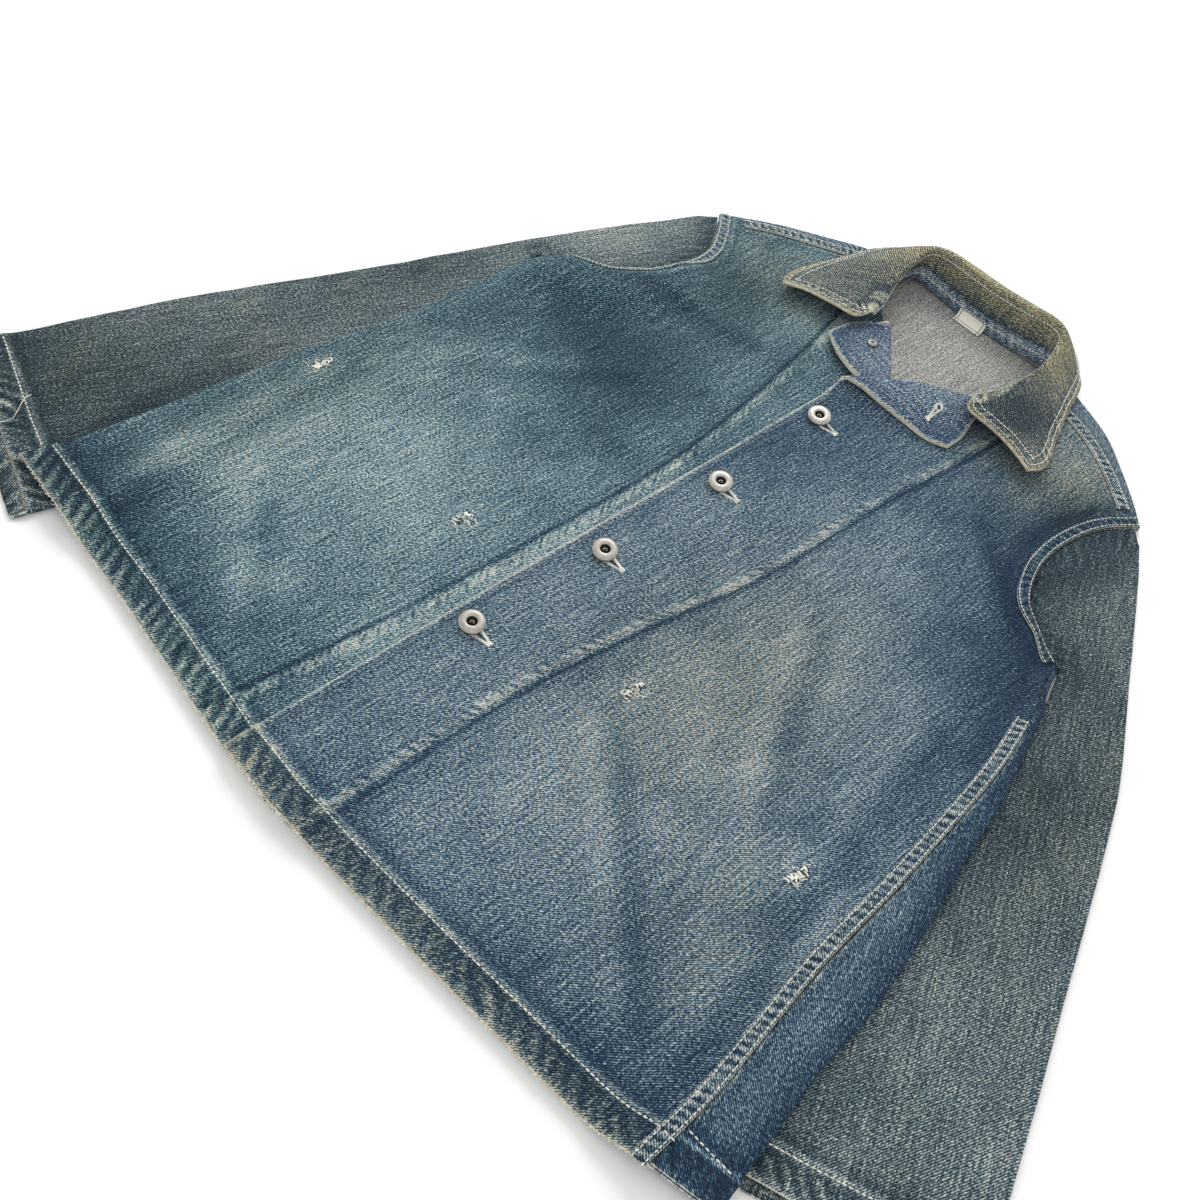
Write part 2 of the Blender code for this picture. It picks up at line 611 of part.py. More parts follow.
def collar_surface(u, v):
    """u runs from the wearer's right end to the left end, v from seam to outer edge."""
    lines = []
    for part in range(3):
        lines.append([station[part] for station in COLLAR_STATIONS])
    share = u * (len(COLLAR_STATIONS) - 1)
    index = min(int(share), len(COLLAR_STATIONS) - 2)
    t = share - index
    station = []
    for line in lines:
        a, b = Vector(line[index]), Vector(line[index + 1])
        before = Vector(line[index - 1]) if index > 0 else a * 2 - b
        after = Vector(line[index + 2]) if index + 2 < len(line) else b * 2 - a
        tangent_a, tangent_b = (b - before) / 2, (after - a) / 2
        station.append(a * (2 * t**3 - 3 * t**2 + 1) + tangent_a * (t**3 - 2 * t**2 + t)
                       + b * (3 * t**2 - 2 * t**3) + tangent_b * (t**3 - t**2))
    spot = collar_point(station, v)
    t = max(v - STAND_SHARE, 0) / (1 - STAND_SHARE)
    spot.y -= LEAF_BOW * (1 - smooth(0, LEAF_BOW_REACH, min(u, 1 - u))) * t * (1 - t)**2 * 27 / 4
    return spot


def make_collar(collection, root):
    columns = 28
    levels = [0, 0.18, 0.36, 0.43, 0.5, 0.58, 0.7, 0.85, 1.0]
    patch = [[collar_surface(i / columns, v) for i in range(columns + 1)] for v in levels]
    mesh = plan_mesh(patch)
    return finish_piece("collar", mesh, "denim_collar", COLLAR_WALL, collection, root)


def make_label(collection, root):
    """A bare woven label on the inner side, lying over the neck seam and up the stand."""
    patch = []
    for y, z in LABEL_SECTION:
        patch.append([Vector((LABEL_LEFT + LABEL_WIDTH * k / 4, y, z)) for k in range(5)])
    mesh = plan_mesh(patch)
    return finish_piece("label", mesh, "label_cloth", FACING_WALL, collection, root)


def make_strip(name, line, side, height, count, collection, root):
    """A folded seam allowance lying on the panel beside its seam; side is left or right of it."""
    off = WALL / 2 + SEAM_GAP + 0.2 + FELL_WALL / 2
    spots = samples(line, count)
    patch = []
    for k, spot in enumerate(spots):
        before, after = spots[max(k - 1, 0)], spots[min(k + 1, count)]
        along = (after - before).normalized()
        inward = Vector((-along.y, along.x)) * side
        row = []
        for share in (0.0, 0.5, 1.0):
            p = spot + inward * (0.8 + (FELL_WIDTH - 0.8) * share)
            row.append(Vector((p.x, p.y, height(p.x, p.y) + off)))
        patch.append(row)
    mesh = plan_mesh(patch)
    return finish_piece(name, mesh, "felled_seam", FELL_WALL, collection, root)


def turned_ring(name, profile, place, face_up, collection, root):
    """A metal piece turned from its profile of (radius, height) points."""
    mesh = bmesh.new()
    verts = [mesh.verts.new((x * MM, 0, z * MM)) for x, z in profile]
    for a, b in zip(verts, verts[1:] + verts[:1]):
        mesh.edges.new((a, b))
    data = bpy.data.meshes.new(name)
    mesh.to_mesh(data)
    mesh.free()
    piece = bpy.data.objects.new(name, data)
    collection.objects.link(piece)
    piece.parent = root
    turn = piece.modifiers.new("turned ring", "SCREW")
    turn.steps = turn.render_steps = BUTTON_SIDES
    turn.use_merge_vertices = True
    turn.merge_threshold = 0.00001
    turn.use_normal_calculate = True
    x, y, z = place
    piece.location = ((x - CENTRE_X) * MM, (y - CENTRE_Y) * MM, z * MM)
    if not face_up:
        piece.rotation_euler = (pi, 0, 0)
    data.materials.append(make_material("button_metal"))
    return piece


def make_button(name, place, face_up, collection, root):
    """A ring-shaped tack button: a rolled metal ring round a dished hole."""
    r, h = BUTTON_RADIUS, BUTTON_HEIGHT
    profile = [(2.0, h * 0.42), (3.0, h * 0.50), (4.1, h * 0.86), (5.6, h), (7.4, h * 0.93),
               (r - 0.25, h * 0.66), (r, h * 0.40), (r - 0.6, h * 0.12), (r - 1.6, 0.0),
               (2.0, 0.0)]
    return turned_ring(name, profile, place, face_up, collection, root)


def make_tack_back(name, place, collection, root):
    """The small rimmed nail head that holds a button from the inner side."""
    r, h = TACK_RADIUS, TACK_HEIGHT
    profile = [(0.5, h * 0.6), (r * 0.5, h * 0.6), (r * 0.75, h), (r * 0.93, h * 0.85),
               (r, h * 0.4), (r * 0.9, 0.0), (0.5, 0.0)]
    return turned_ring(name, profile, place, True, collection, root)


def make_jacket():
    clear_scene()
    collection = bpy.data.collections.new("washed_denim_jacket")
    bpy.context.scene.collection.children.link(collection)
    root = bpy.data.objects.new("jacket", None)
    collection.objects.link(root)

    make_back(collection, root)
    make_left_front(collection, root)
    make_right_front(collection, root)
    make_facing("left_facing", left_front_patch(), LEFT_LAPEL, left_height, collection, root)
    make_facing("right_facing", right_front_patch(), RIGHT_LAPEL, right_height, collection, root)
    make_sleeve("left_sleeve", NEAR_ARMHOLE, NEAR_SLEEVE_INNER, NEAR_SLEEVE_OUTER, -2 * SEAM_GAP,
                6, collection, root)
    make_sleeve("right_sleeve", FAR_ARMHOLE, FAR_SLEEVE_INNER, FAR_SLEEVE_OUTER, 2 * SEAM_GAP,
                11, collection, root)
    make_collar(collection, root)
    make_label(collection, root)

    make_strip("side_fell", shift(SIDE_SEAM[:-1], 0.6), 1, left_height, 20, collection, root)
    make_strip("left_armhole_fell", NEAR_ARMHOLE[1:], 1, left_height, 16, collection, root)
    make_strip("right_armhole_fell", FAR_ARMHOLE[1:], -1, right_height, 16, collection, root)
    make_strip("left_shoulder_fell", NEAR_SHOULDER[1:-1] + [(190, 611)], -1, left_height, 10,
               collection, root)
    make_strip("right_shoulder_fell", FAR_SHOULDER[1:-1] + [(-187, 613)], 1, right_height, 10,
               collection, root)

    for number, (x, y) in enumerate(BUTTON_PLACES):
        z = left_height(x, y) + WALL / 2 + SEAM_GAP
        make_button(f"button_{number + 1}", (x, y, z), True, collection, root)
    under = turn_out(*TURNED_BUTTON, RIGHT_LAPEL, right_height)
    z = under.z - WALL / 2 - 2 * SEAM_GAP
    make_button("button_5", (under.x, under.y, z), False, collection, root)
    top = under.z + WALL / 2 + FACING_WALL + 2 * SEAM_GAP
    make_tack_back("tack_back", (under.x, under.y, top), collection, root)


make_jacket()
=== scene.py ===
# %% [markdown]
# # A washed denim work jacket, laid flat
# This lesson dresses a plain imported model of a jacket. The jacket lies on its back with its
# sleeves spread, its collar standing and both lapels turned out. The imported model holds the
# true size and place of each panel, so the lesson starts by loading it and keeps its box.

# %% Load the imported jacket
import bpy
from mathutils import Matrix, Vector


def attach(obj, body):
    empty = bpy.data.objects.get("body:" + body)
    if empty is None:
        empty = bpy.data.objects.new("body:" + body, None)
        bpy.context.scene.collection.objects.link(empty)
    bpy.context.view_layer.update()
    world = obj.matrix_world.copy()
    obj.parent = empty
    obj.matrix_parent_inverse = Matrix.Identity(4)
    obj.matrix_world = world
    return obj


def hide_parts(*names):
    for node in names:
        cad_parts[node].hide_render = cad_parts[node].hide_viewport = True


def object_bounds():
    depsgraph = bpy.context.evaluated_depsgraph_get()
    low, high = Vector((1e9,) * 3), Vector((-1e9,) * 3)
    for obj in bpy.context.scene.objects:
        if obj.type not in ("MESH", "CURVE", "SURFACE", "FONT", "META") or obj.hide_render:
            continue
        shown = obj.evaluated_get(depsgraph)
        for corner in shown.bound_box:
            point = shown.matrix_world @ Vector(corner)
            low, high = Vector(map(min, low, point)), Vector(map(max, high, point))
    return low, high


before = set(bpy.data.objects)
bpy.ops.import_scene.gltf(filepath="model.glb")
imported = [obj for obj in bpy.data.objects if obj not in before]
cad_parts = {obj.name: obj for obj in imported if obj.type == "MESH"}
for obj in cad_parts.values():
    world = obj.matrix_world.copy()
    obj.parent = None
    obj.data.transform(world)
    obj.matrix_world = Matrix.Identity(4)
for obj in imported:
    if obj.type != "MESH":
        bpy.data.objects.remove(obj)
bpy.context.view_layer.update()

# %% Blender's own tools
from math import cos, pi, sin

import bmesh
import bpy
import numpy as np
from mathutils import Matrix, Vector, geometry, noise
from mathutils.bvhtree import BVHTree

MM = 0.001

# %% [markdown]
# ## How thick the layers are
# Denim is about 0.9 mm thick, and with its nap a worn panel stands about 1.2 mm. A turned and
# stitched edge is two or three layers. Sizes are written in millimetres from the first
# button's line at the hem, and become metres only where a mesh is made, so that a tape
# measure on a real jacket reads the same numbers.

# %% Walls, gaps and the way the layers stack
WALL, HEM_WALL, FACING_WALL, COLLAR_WALL, FELL_WALL = 1.2, 2.0, 1.0, 2.4, 1.0
SEAM_GAP = 0.3            # between two pieces that are sewn to each other
FELL_WIDTH = 10.0
HEM_WIDTH = 21.0
HEM_FADE = 4.0            # over this width the wall of a turned edge thins again
HEM_BAND = 19             # the part of a hem that puckers, up to its stitching
HEM_STITCH = 19.5         # the stitching's distance from the edge
LAYER = 3.6               # from the middle of one layer to the middle of the next
EDGE_RADIUS = LAYER / 2
PLACKET_STEP = 3.3        # the left front rides over the right one
SLEEVE_LIFT = 6.4         # the body's side rides over the sleeve tucked under it
TUCK_REACH, TUCK_RAMP = 50, 44            # where that rise starts, and over what width
NEAR_TUCK_X, FAR_TUCK_X = 190, -185       # and the same above the sleeves' free part
ARMPIT_Y = 444
CENTRE = Vector((38.5, 365.6, 0.0))
print("two layers of cloth stand", round(LAYER + WALL, 1), "mm high")

# %% [markdown]
# ## The outlines of the panels
# A jacket is cut from flat panels, so each outline is a short list of points in plan, and a
# smooth curve runs through them. A drawn curve could be traced by hand instead. A list is
# easier to measure, and the seams of two neighbouring panels can share one list, which is
# how a cutter makes sure that they fit.

# %% Outlines in plan
HEM = [(-259, 27), (-211, 22), (-131, 15), (-14, 0), (31, -3), (150, 2), (273, 9), (337, 22)]
NEAR_FOLD = [(337, 22), (331, 60), (322, 117), (318, 163), (306, 226), (295, 270),
             (282, 328), (273, 358), (260, 398), (249, 424), (243, 446)]
SIDE_SEAM = [(300, 12), (298, 60), (291, 117), (285, 163), (281, 226), (277, 270),
             (271, 328), (266, 358), (255.5, 398), (245.5, 424), (243, 446)]
FAR_FOLD = [(-259, 27), (-252, 60), (-247, 150), (-244, 225), (-237, 300), (-235, 360),
            (-237, 418), (-240, 446)]
NEAR_ARMHOLE = [(243, 446), (225, 455), (202, 468), (189, 492), (182, 525), (184, 557),
                (191, 580), (204, 600)]
FAR_ARMHOLE = [(-240, 446), (-220, 457), (-196, 470), (-180, 492), (-173, 525),
               (-177, 560), (-188, 580), (-203, 600)]
NEAR_SHOULDER = [(86, 667), (102, 661), (129, 652), (158, 636), (178, 621), (204, 600)]
FAR_SHOULDER = [(-86, 672), (-106, 667), (-138, 648), (-168, 629), (-203, 600)]
NEAR_SHOULDER_FOLD = [(74, 687), (97, 679), (134, 663), (164, 640), (186, 621), (204, 603)]
FAR_SHOULDER_FOLD = [(-76, 687), (-106, 677), (-138, 656), (-168, 635), (-203, 603)]
BACK_NECK = [(-76, 687), (-40, 682), (0, 680.5), (38, 682), (74, 687)]
LEFT_NECK = [(-2, 615), (16, 616), (34, 613), (52, 616), (66, 630), (80, 655)]
RIGHT_NECK = [(21, 621), (-2, 623), (-24, 616), (-44, 617), (-60, 634), (-78, 658)]
LEFT_EDGE = [(-14, 0), (-15, 180), (-14, 400), (-14, 540), (-15, 570), (-10, 596), (-2, 615)]
RIGHT_EDGE = [(31, -3), (29, 180), (26, 400), (27, 520), (31, 570), (29, 597), (21, 621)]
LEFT_FACING_SEAM = [(51, -2), (50, 150), (60, 250), (74, 340), (78, 468), (84, 540), (86, 600),
                    (80, 655)]
RIGHT_FACING_SEAM = [(-38, 3), (-28, 150), (-25, 250), (-25, 357), (-34, 440), (-52, 540),
                     (-68, 610), (-78, 658)]
NEAR_SLEEVE_OUTER = [(207, 597), (233, 556), (274, 484), (302, 435), (325, 392), (359, 311),
                     (385, 246), (406, 194), (426, 143), (447, 92)]
NEAR_SLEEVE_INNER = [(247, 445), (253, 428), (259, 412), (236, 386), (222, 330), (226, 250),
                     (250, 150), (305, 40)]
FAR_SLEEVE_OUTER = [(-206, 597), (-234, 523), (-260, 445), (-293, 329), (-334, 199),
                    (-364, 77), (-370, 58)]
FAR_SLEEVE_INNER = [(-244, 445), (-243, 428), (-242, 412), (-222, 388), (-196, 330),
                    (-188, 250), (-194, 150), (-221, 9)]
SLEEVE_CLEAR_Y = 412.0
FAR_WRAP = [(20, 36), (120, 30), (250, 18), (340, 8), (400, 1.0), (460, 1.0)]
LEFT_LAPEL = {"low": (-12, 525), "high": (68, 611), "side": 1, "radii": (2.2, 4.0),
              "rest": 2.4, "settle": 34.0}
RIGHT_LAPEL = {"low": (11, 554), "high": (-41, 617), "side": -1, "radii": (1.7, 4.0),
               "rest": 7.2, "settle": 30.0}
ROLL_OPENING = 28.0
FACING_END, FACING_FIRST_ROW = -15.0, 11
LAPEL_STACK = 6.4
print("hem, side to side:", HEM[-1][0] - HEM[0][0], "mm")

# %% Lines and curves
def smooth(low, high, value):
    """A soft step from 0 at low to 1 at high."""
    share = min(max((value - low) / (high - low), 0.0), 1.0)
    return share * share * (3 - 2 * share)


def hermite(a, b, tangent_a, tangent_b, t):
    return (a * (2 * t**3 - 3 * t**2 + 1) + tangent_a * (t**3 - 2 * t**2 + t)
            + b * (3 * t**2 - 2 * t**3) + tangent_b * (t**3 - t**2))


def spline(points, share):
    """A point on the smooth curve through an outline's points."""
    points = [Vector(point) for point in points]
    steps = [(b - a).length for a, b in zip(points, points[1:])]
    target = share * sum(steps)
    index = 0
    while index < len(steps) - 1 and target > steps[index]:
        target -= steps[index]
        index += 1
    a, b = points[index], points[index + 1]
    before = points[index - 1] if index > 0 else a * 2 - b
    after = points[index + 2] if index + 2 < len(points) else b * 2 - a
    tangent_a = (b - before) * (steps[index] / (steps[index] + (a - before).length))
    tangent_b = (after - a) * (steps[index] / (steps[index] + (after - b).length))
    return hermite(a, b, tangent_a, tangent_b, min(target / steps[index], 1.0))


def across(points, value, axis=1):
    """The other coordinate of an outline where its coordinate on axis is value."""
    points = sorted(points, key=lambda point: point[axis])
    other = 1 - axis
    value = min(max(value, points[0][axis]), points[-1][axis])
    for a, b in zip(points, points[1:]):
        if value <= b[axis]:
            share = (value - a[axis]) / (b[axis] - a[axis])
            return a[other] + (b[other] - a[other]) * share
    return points[-1][other]


def shift(points, dx, dy=0.0):
    return [(x + dx, y + dy) for x, y in points]


def samples(points, count):
    return [spline(points, i / count) for i in range(count + 1)]


def beside(line, distance):
    """Sampled points moved sideways, to the left of the way they run."""
    moved = []
    for k, spot in enumerate(line):
        way = (line[min(k + 1, len(line) - 1)] - line[max(k - 1, 0)]).normalized()
        moved.append(spot + Vector((-way.y, way.x)) * distance)
    return moved


def coons(bottom, top, left, right):
    """Rows of points that fill the space between four sampled sides."""
    columns, rows = len(bottom) - 1, len(left) - 1
    patch = []
    for j in range(rows + 1):
        v = j / rows
        row = []
        for i in range(columns + 1):
            u = i / columns
            sides = left[j] * (1 - u) + right[j] * u + bottom[i] * (1 - v) + top[i] * v
            corners = (bottom[0] * (1 - u) * (1 - v) + bottom[-1] * u * (1 - v)
                       + top[0] * (1 - u) * v + top[-1] * u * v)
            row.append(sides - corners)
        patch.append(row)
    return patch


def near_line(spots, line):
    """Distance of each spot to a line of points, and how far along the line that is."""
    line = np.array([list(p) for p in line], float)[:, :spots.shape[1]]
    distance, along, walked = np.full(len(spots), 1e9), np.zeros(len(spots)), 0.0
    for a, b in zip(line, line[1:]):
        way, length = b - a, np.linalg.norm(b - a)
        share = np.clip((spots - a) @ way / max(length**2, 1e-9), 0, 1)
        gap = np.linalg.norm(spots - a - share[:, None] * way, axis=1)
        closer = gap < distance
        distance[closer], along[closer] = gap[closer], walked + share[closer] * length
        walked += length
    return distance, along

# %% [markdown]
# ## How the cloth lies
# Laid-out cloth is never flat. It rides over what is under it, and a washed jacket keeps
# soft folds. A cloth simulation could find a pose, but not this one, so the pose is written
# as heights: the height of the back, of each front over it, and of folds along lines.
# Every layer reads the same heights, so no layer can cut through another.

# %% Heights of the layers
FRONT_FOLDS = [((95, 175), (235, 55), 2.4, 30), ((215, 330), (262, 60), 1.6, 24),
               ((-225, 240), (-205, 45), 1.8, 26), ((-175, 470), (-60, 505), 1.4, 26),
               ((205, 430), (120, 500), 1.4, 24), ((120, 330), (190, 200), 1.3, 34),
               ((-160, 120), (-90, 60), 1.4, 24), ((-120, 400), (-190, 300), 1.2, 30)]
FAR_RIDGE = [(-235, 432), (-213, 445), (-187, 460), (-168, 486), (-159, 520), (-160, 556)]
NEAR_RIDGE = [(236, 436), (221, 444), (197, 464), (183, 490), (176, 520)]
ARM_RIDGES = [(FAR_RIDGE, 14.0, 19), (NEAR_RIDGE, 8.0, 12)]     # line, rise and half width
RIDGE_SPREAD = 1.3        # a ridge slopes this much more gently towards the body


def over_sleeve(x, y):
    """How far the body is raised at a point by the sleeve tucked beneath it."""
    if x > 0:
        depth = (x - across(NEAR_SLEEVE_INNER[3:], y) + TUCK_REACH if y < SLEEVE_CLEAR_Y
                 else x - NEAR_TUCK_X)
    else:
        depth = (across(FAR_SLEEVE_INNER[3:], y) + TUCK_REACH - x if y < SLEEVE_CLEAR_Y
                 else FAR_TUCK_X - x)
    return SLEEVE_LIFT * smooth(0, TUCK_RAMP, depth) * smooth(ARMPIT_Y, SLEEVE_CLEAR_Y + 6, y)


def hem_rise(distance):
    """The wall thickens towards a turned edge, so its middle rises by half of that."""
    return (HEM_WALL - WALL) / 2 * smooth(HEM_WIDTH + HEM_FADE, HEM_WIDTH, distance)


def back_height(x, y):
    return WALL / 2 + over_sleeve(x, y) + hem_rise(y - across(HEM, x, axis=0))


def soft_folds(x, y):
    """The height that folds, the ridges beside the armholes and the drape add at a point."""
    height, point = 0.0, Vector((x, y))
    body = Vector((1.0 if x < 0 else -1.0, -1.0)).normalized()
    for start, end, rise, half_width in FRONT_FOLDS:
        a, b = Vector(start), Vector(end)
        along = (point - a).dot(b - a) / (b - a).length_squared
        distance = (point - a - (b - a) * min(max(along, 0.0), 1.0)).length / half_width
        height += rise * max(1 - distance * distance, 0.0) ** 2 * smooth(-0.2, 0.3, along)
    for line, rise, half_width in ARM_RIDGES:
        near, share = 1e9, 0.0
        for k, (start, end) in enumerate(zip(line, line[1:])):
            a, b = Vector(start), Vector(end)
            along = min(max((point - a).dot(b - a) / (b - a).length_squared, 0.0), 1.0)
            offset = point - a - (b - a) * along
            inner = offset.dot(body) / max(offset.length, 1e-6)
            gap = offset.length / (half_width * (1 + RIDGE_SPREAD * smooth(-0.4, 0.7, inner)))
            if gap < near:
                near, share = gap, (k + along) / (len(line) - 1)
        height += rise * max(1 - near * near, 0.0) ** 2 * smooth(1.0, 0.74, share)
    drape = noise.noise(Vector((x / 70, y / 110, 3.1))) + 0.5 * noise.noise(
        Vector((x / 26 + y / 60, y / 34, 7.7)))
    return height + 0.55 * drape


def right_height(x, y):
    edge = smooth(0, 18, x - FAR_FOLD[4][0] - 2)
    return back_height(x, y) + LAYER + soft_folds(x, y) * edge * smooth(20, 60, y)


def left_height(x, y):
    overlap = 1 - smooth(36, 74, x)
    edge = 1 - smooth(-26, -8, x - across(SIDE_SEAM, y))
    stack = LAPEL_STACK * smooth(504, 534, y) * (1 - smooth(24, 62, x))
    folds = soft_folds(x, y) * edge * smooth(20, 60, y)
    return back_height(x, y) + LAYER + PLACKET_STEP * overlap + folds + stack


def turn_out(x, y, lapel, height):
    """A point of a front, turned back over itself past the lapel's roll."""
    low, high = Vector(lapel["low"]), Vector(lapel["high"])
    run = (high - low).length
    way = (high - low) / run
    inward = Vector((-way.y, way.x)) * lapel["side"]
    spot = Vector((x, y)) - low
    along = spot.dot(way)
    narrow, wide = lapel["radii"]
    radius = narrow + (wide - narrow) * min(max(along / run, 0), 1)
    distance = spot.dot(inward) + radius
    limit = pi * (1 - smooth(run, run + ROLL_OPENING, along))
    if distance <= 0 or limit <= 0:
        return Vector((x, y, height(x, y)))
    foot = low + way * along - inward * radius
    base = height(foot.x, foot.y)
    turn = min(distance / radius, limit)
    beyond = distance - turn * radius
    reach = radius * sin(turn) + beyond * cos(turn)
    rise = radius * (1 - cos(turn)) + beyond * sin(turn)
    plan = low + way * along + inward * (reach - radius)
    settled = smooth(0, lapel["settle"], beyond) * smooth(0.9, 1.0, turn / pi)
    rise += (height(plan.x, plan.y) + lapel["rest"] - base - rise) * settled
    return Vector((plan.x, plan.y, base + rise))

print("left front beside the fourth button:", round(left_height(2, 484), 1), "mm up")

# %% [markdown]
# ## Colours and nodes
# Colours are picked as hex values, as a painter reads them on a screen, and Blender wants
# linear light, so one function turns the first into the second. One more function adds a
# node with its settings and links, which keeps each material below short enough to read.

# %% Two helpers for materials
def linear(hex_colour):
    channels = [int(hex_colour[i:i + 2], 16) / 255 for i in (1, 3, 5)]
    return [c / 12.92 if c <= 0.04045 else ((c + 0.055) / 1.055) ** 2.4 for c in channels] + [1.0]


def node(tree, kind, settings=None, inputs=None):
    """Adds a node; an input is a value, or a socket of another node to link from."""
    made = tree.nodes.new(kind)
    for name, value in (settings or {}).items():
        setattr(made, name, value)
    for name, value in (inputs or {}).items():
        socket = made.inputs[name]
        if isinstance(value, bpy.types.NodeSocket):
            tree.links.new(value, socket)
        else:
            socket.default_value = value
    return made


def shader_of(name):
    """A new material, its node tree and its emptied Principled shader."""
    material = bpy.data.materials.new(name)
    material.use_nodes = True
    return material, material.node_tree, material.node_tree.nodes["Principled BSDF"]

print("pale worn denim, linear:", [round(c, 3) for c in linear("#8fa1a8")[:3]])

# %% [markdown]
# ## Washed denim
# Denim is a twill of indigo warp threads over white weft threads. Washing takes the dye off
# whatever stands up: the ribs of the twill, the puckers of a seam, a fold, an edge. So one
# number, how worn a spot is together with painted shade and painted light, drives one ramp
# from unwashed indigo to bare white thread. That number adds up the twill's own ribs, slubs
# along the warp, soft clouds from the wash, and three attributes painted on each panel: "rub"
# where it is worn, "keep_and_shade" where dye is kept and where shade is painted, and
# "fade_and_shading" for broad pale or dark areas, partly wash fading and partly painted shade
# and painted light. A fourth, "tan", says where soil and sun have yellowed it.
# A photo of cloth could be used instead, but it would fix the scale and the light.

# %% The denim material
def denim(name, ramp, clouds=0.2, ribs=0.56, speck=1.2, slubs=0.6, rib_pitch=1.35, base=0.474,
          nap=0.75):
    """Warp-faced cotton twill, indigo dyed and stone washed; matt, with a short nap."""
    material, tree, shader = shader_of(name)
    cut = node(tree, "ShaderNodeUVMap", {"uv_map": "cut"})
    # The real rib is about 0.9 mm; it is drawn a little coarser so that it shows.
    turned = node(tree, "ShaderNodeMapping", None,
                  {"Vector": cut.outputs["UV"], "Rotation": (0, 0, pi / 4)})
    rib = node(tree, "ShaderNodeTexWave", {"wave_type": "BANDS", "bands_direction": "X"},
               {"Vector": turned.outputs["Vector"], "Scale": 2 * pi / 20 / (rib_pitch * MM),
                "Distortion": 2.6, "Detail": 2.0, "Detail Scale": 1.6})
    specks = node(tree, "ShaderNodeTexNoise", None,
                  {"Vector": cut.outputs["UV"], "Scale": 1 / (1.7 * MM), "Detail": 2.0,
                   "Roughness": 0.8})
    stretched = node(tree, "ShaderNodeMapping", None,
                     {"Vector": cut.outputs["UV"], "Scale": (1 / 0.8, 1 / 30, 1.0)})
    slub = node(tree, "ShaderNodeTexNoise", None,
                {"Vector": stretched.outputs["Vector"], "Scale": 1 / MM, "Detail": 3.0,
                 "Roughness": 0.6})
    cloud = node(tree, "ShaderNodeTexNoise", None,
                 {"Vector": cut.outputs["UV"], "Scale": 1 / (75 * MM), "Detail": 5.0,
                  "Roughness": 0.55, "Distortion": 0.4})
    level = None
    painted = {socket: node(tree, "ShaderNodeAttribute", {"attribute_name": socket})
               for socket in ("rub", "keep_and_shade", "fade_and_shading", "tan")}
    parts = [(rib.outputs["Fac"], ribs, -ribs / 2), (specks.outputs["Fac"], speck * 2, -speck),
             (slub.outputs["Fac"], slubs * 2, -slubs), (cloud.outputs["Fac"], clouds * 2, -clouds),
             (painted["rub"].outputs["Fac"], 0.62, 0.0),
             (painted["keep_and_shade"].outputs["Fac"], -0.42, 0.0),
             (painted["fade_and_shading"].outputs["Fac"], 0.34, base)]
    for socket, gain, offset in parts:
        part = node(tree, "ShaderNodeMath", {"operation": "MULTIPLY_ADD"},
                    {0: socket, 1: gain, 2: offset})
        level = part if level is None else node(
            tree, "ShaderNodeMath", {"operation": "ADD"},
            {0: level.outputs[0], 1: part.outputs[0]})
    colours = node(tree, "ShaderNodeValToRGB", None, {"Fac": level.outputs[0]})
    colours.color_ramp.elements.remove(colours.color_ramp.elements[1])
    for k, (place, colour) in enumerate(ramp):
        stop = colours.color_ramp.elements[0] if k == 0 else colours.color_ramp.elements.new(place)
        stop.position, stop.color = place, linear(colour)
    soiled = node(tree, "ShaderNodeMix", {"data_type": "RGBA", "blend_type": "MULTIPLY"},
                  {"Factor": painted["tan"].outputs["Fac"], 6: colours.outputs["Color"],
                   7: linear("#e6d6b4")})
    relief = node(tree, "ShaderNodeMath", {"operation": "ADD"},
                  {0: rib.outputs["Fac"], 1: specks.outputs["Fac"]})
    bump = node(tree, "ShaderNodeBump", None,
                {"Strength": nap, "Distance": 0.35 * MM, "Height": relief.outputs[0]})
    tree.links.new(soiled.outputs[2], shader.inputs["Base Color"])
    tree.links.new(bump.outputs["Normal"], shader.inputs["Normal"])
    shader.inputs["Roughness"].default_value = 0.92
    shader.inputs["Specular IOR Level"].default_value = 0.25
    return material


BODY_RAMP = [(0.0, "#11243a"), (0.28, "#2b455b"), (0.5, "#526c7d"), (0.72, "#8197a3"),
             (0.9, "#b4c0c4"), (1.0, "#d6d8d2")]
TEAL_RAMP = [(0.0, "#102332"), (0.28, "#284353"), (0.5, "#4c6c7b"), (0.72, "#7e9ba3"),
             (0.9, "#b0c1c0"), (1.0, "#d5d9d0")]
SLEEVE_RAMP = [(0.0, "#15242f"), (0.28, "#2f424c"), (0.5, "#506268"), (0.72, "#7f8f93"),
               (0.9, "#aeb6b2"), (1.0, "#d0d0c4")]
FACING_RAMP = [(0.0, "#13243b"), (0.28, "#2b425c"), (0.5, "#4d6478"), (0.72, "#7d90a0"),
               (0.9, "#b0bac0"), (1.0, "#dcdbd0")]
COLLAR_RAMP = [(0.0, "#162431"), (0.28, "#2f404b"), (0.5, "#546163"), (0.72, "#868d84"),
               (0.9, "#b6b39c"), (1.0, "#d9d2b8")]
WEFT_RAMP = [(0.0, "#52565b"), (0.3, "#7b7e80"), (0.55, "#9b9c98"), (0.8, "#b9b9b2"),
             (1.0, "#d6d5cc")]
EDGE_RAMP = [(0.0, "#72807f"), (0.3, "#a4aea8"), (0.6, "#d2d4ca"), (1.0, "#f1efe4")]

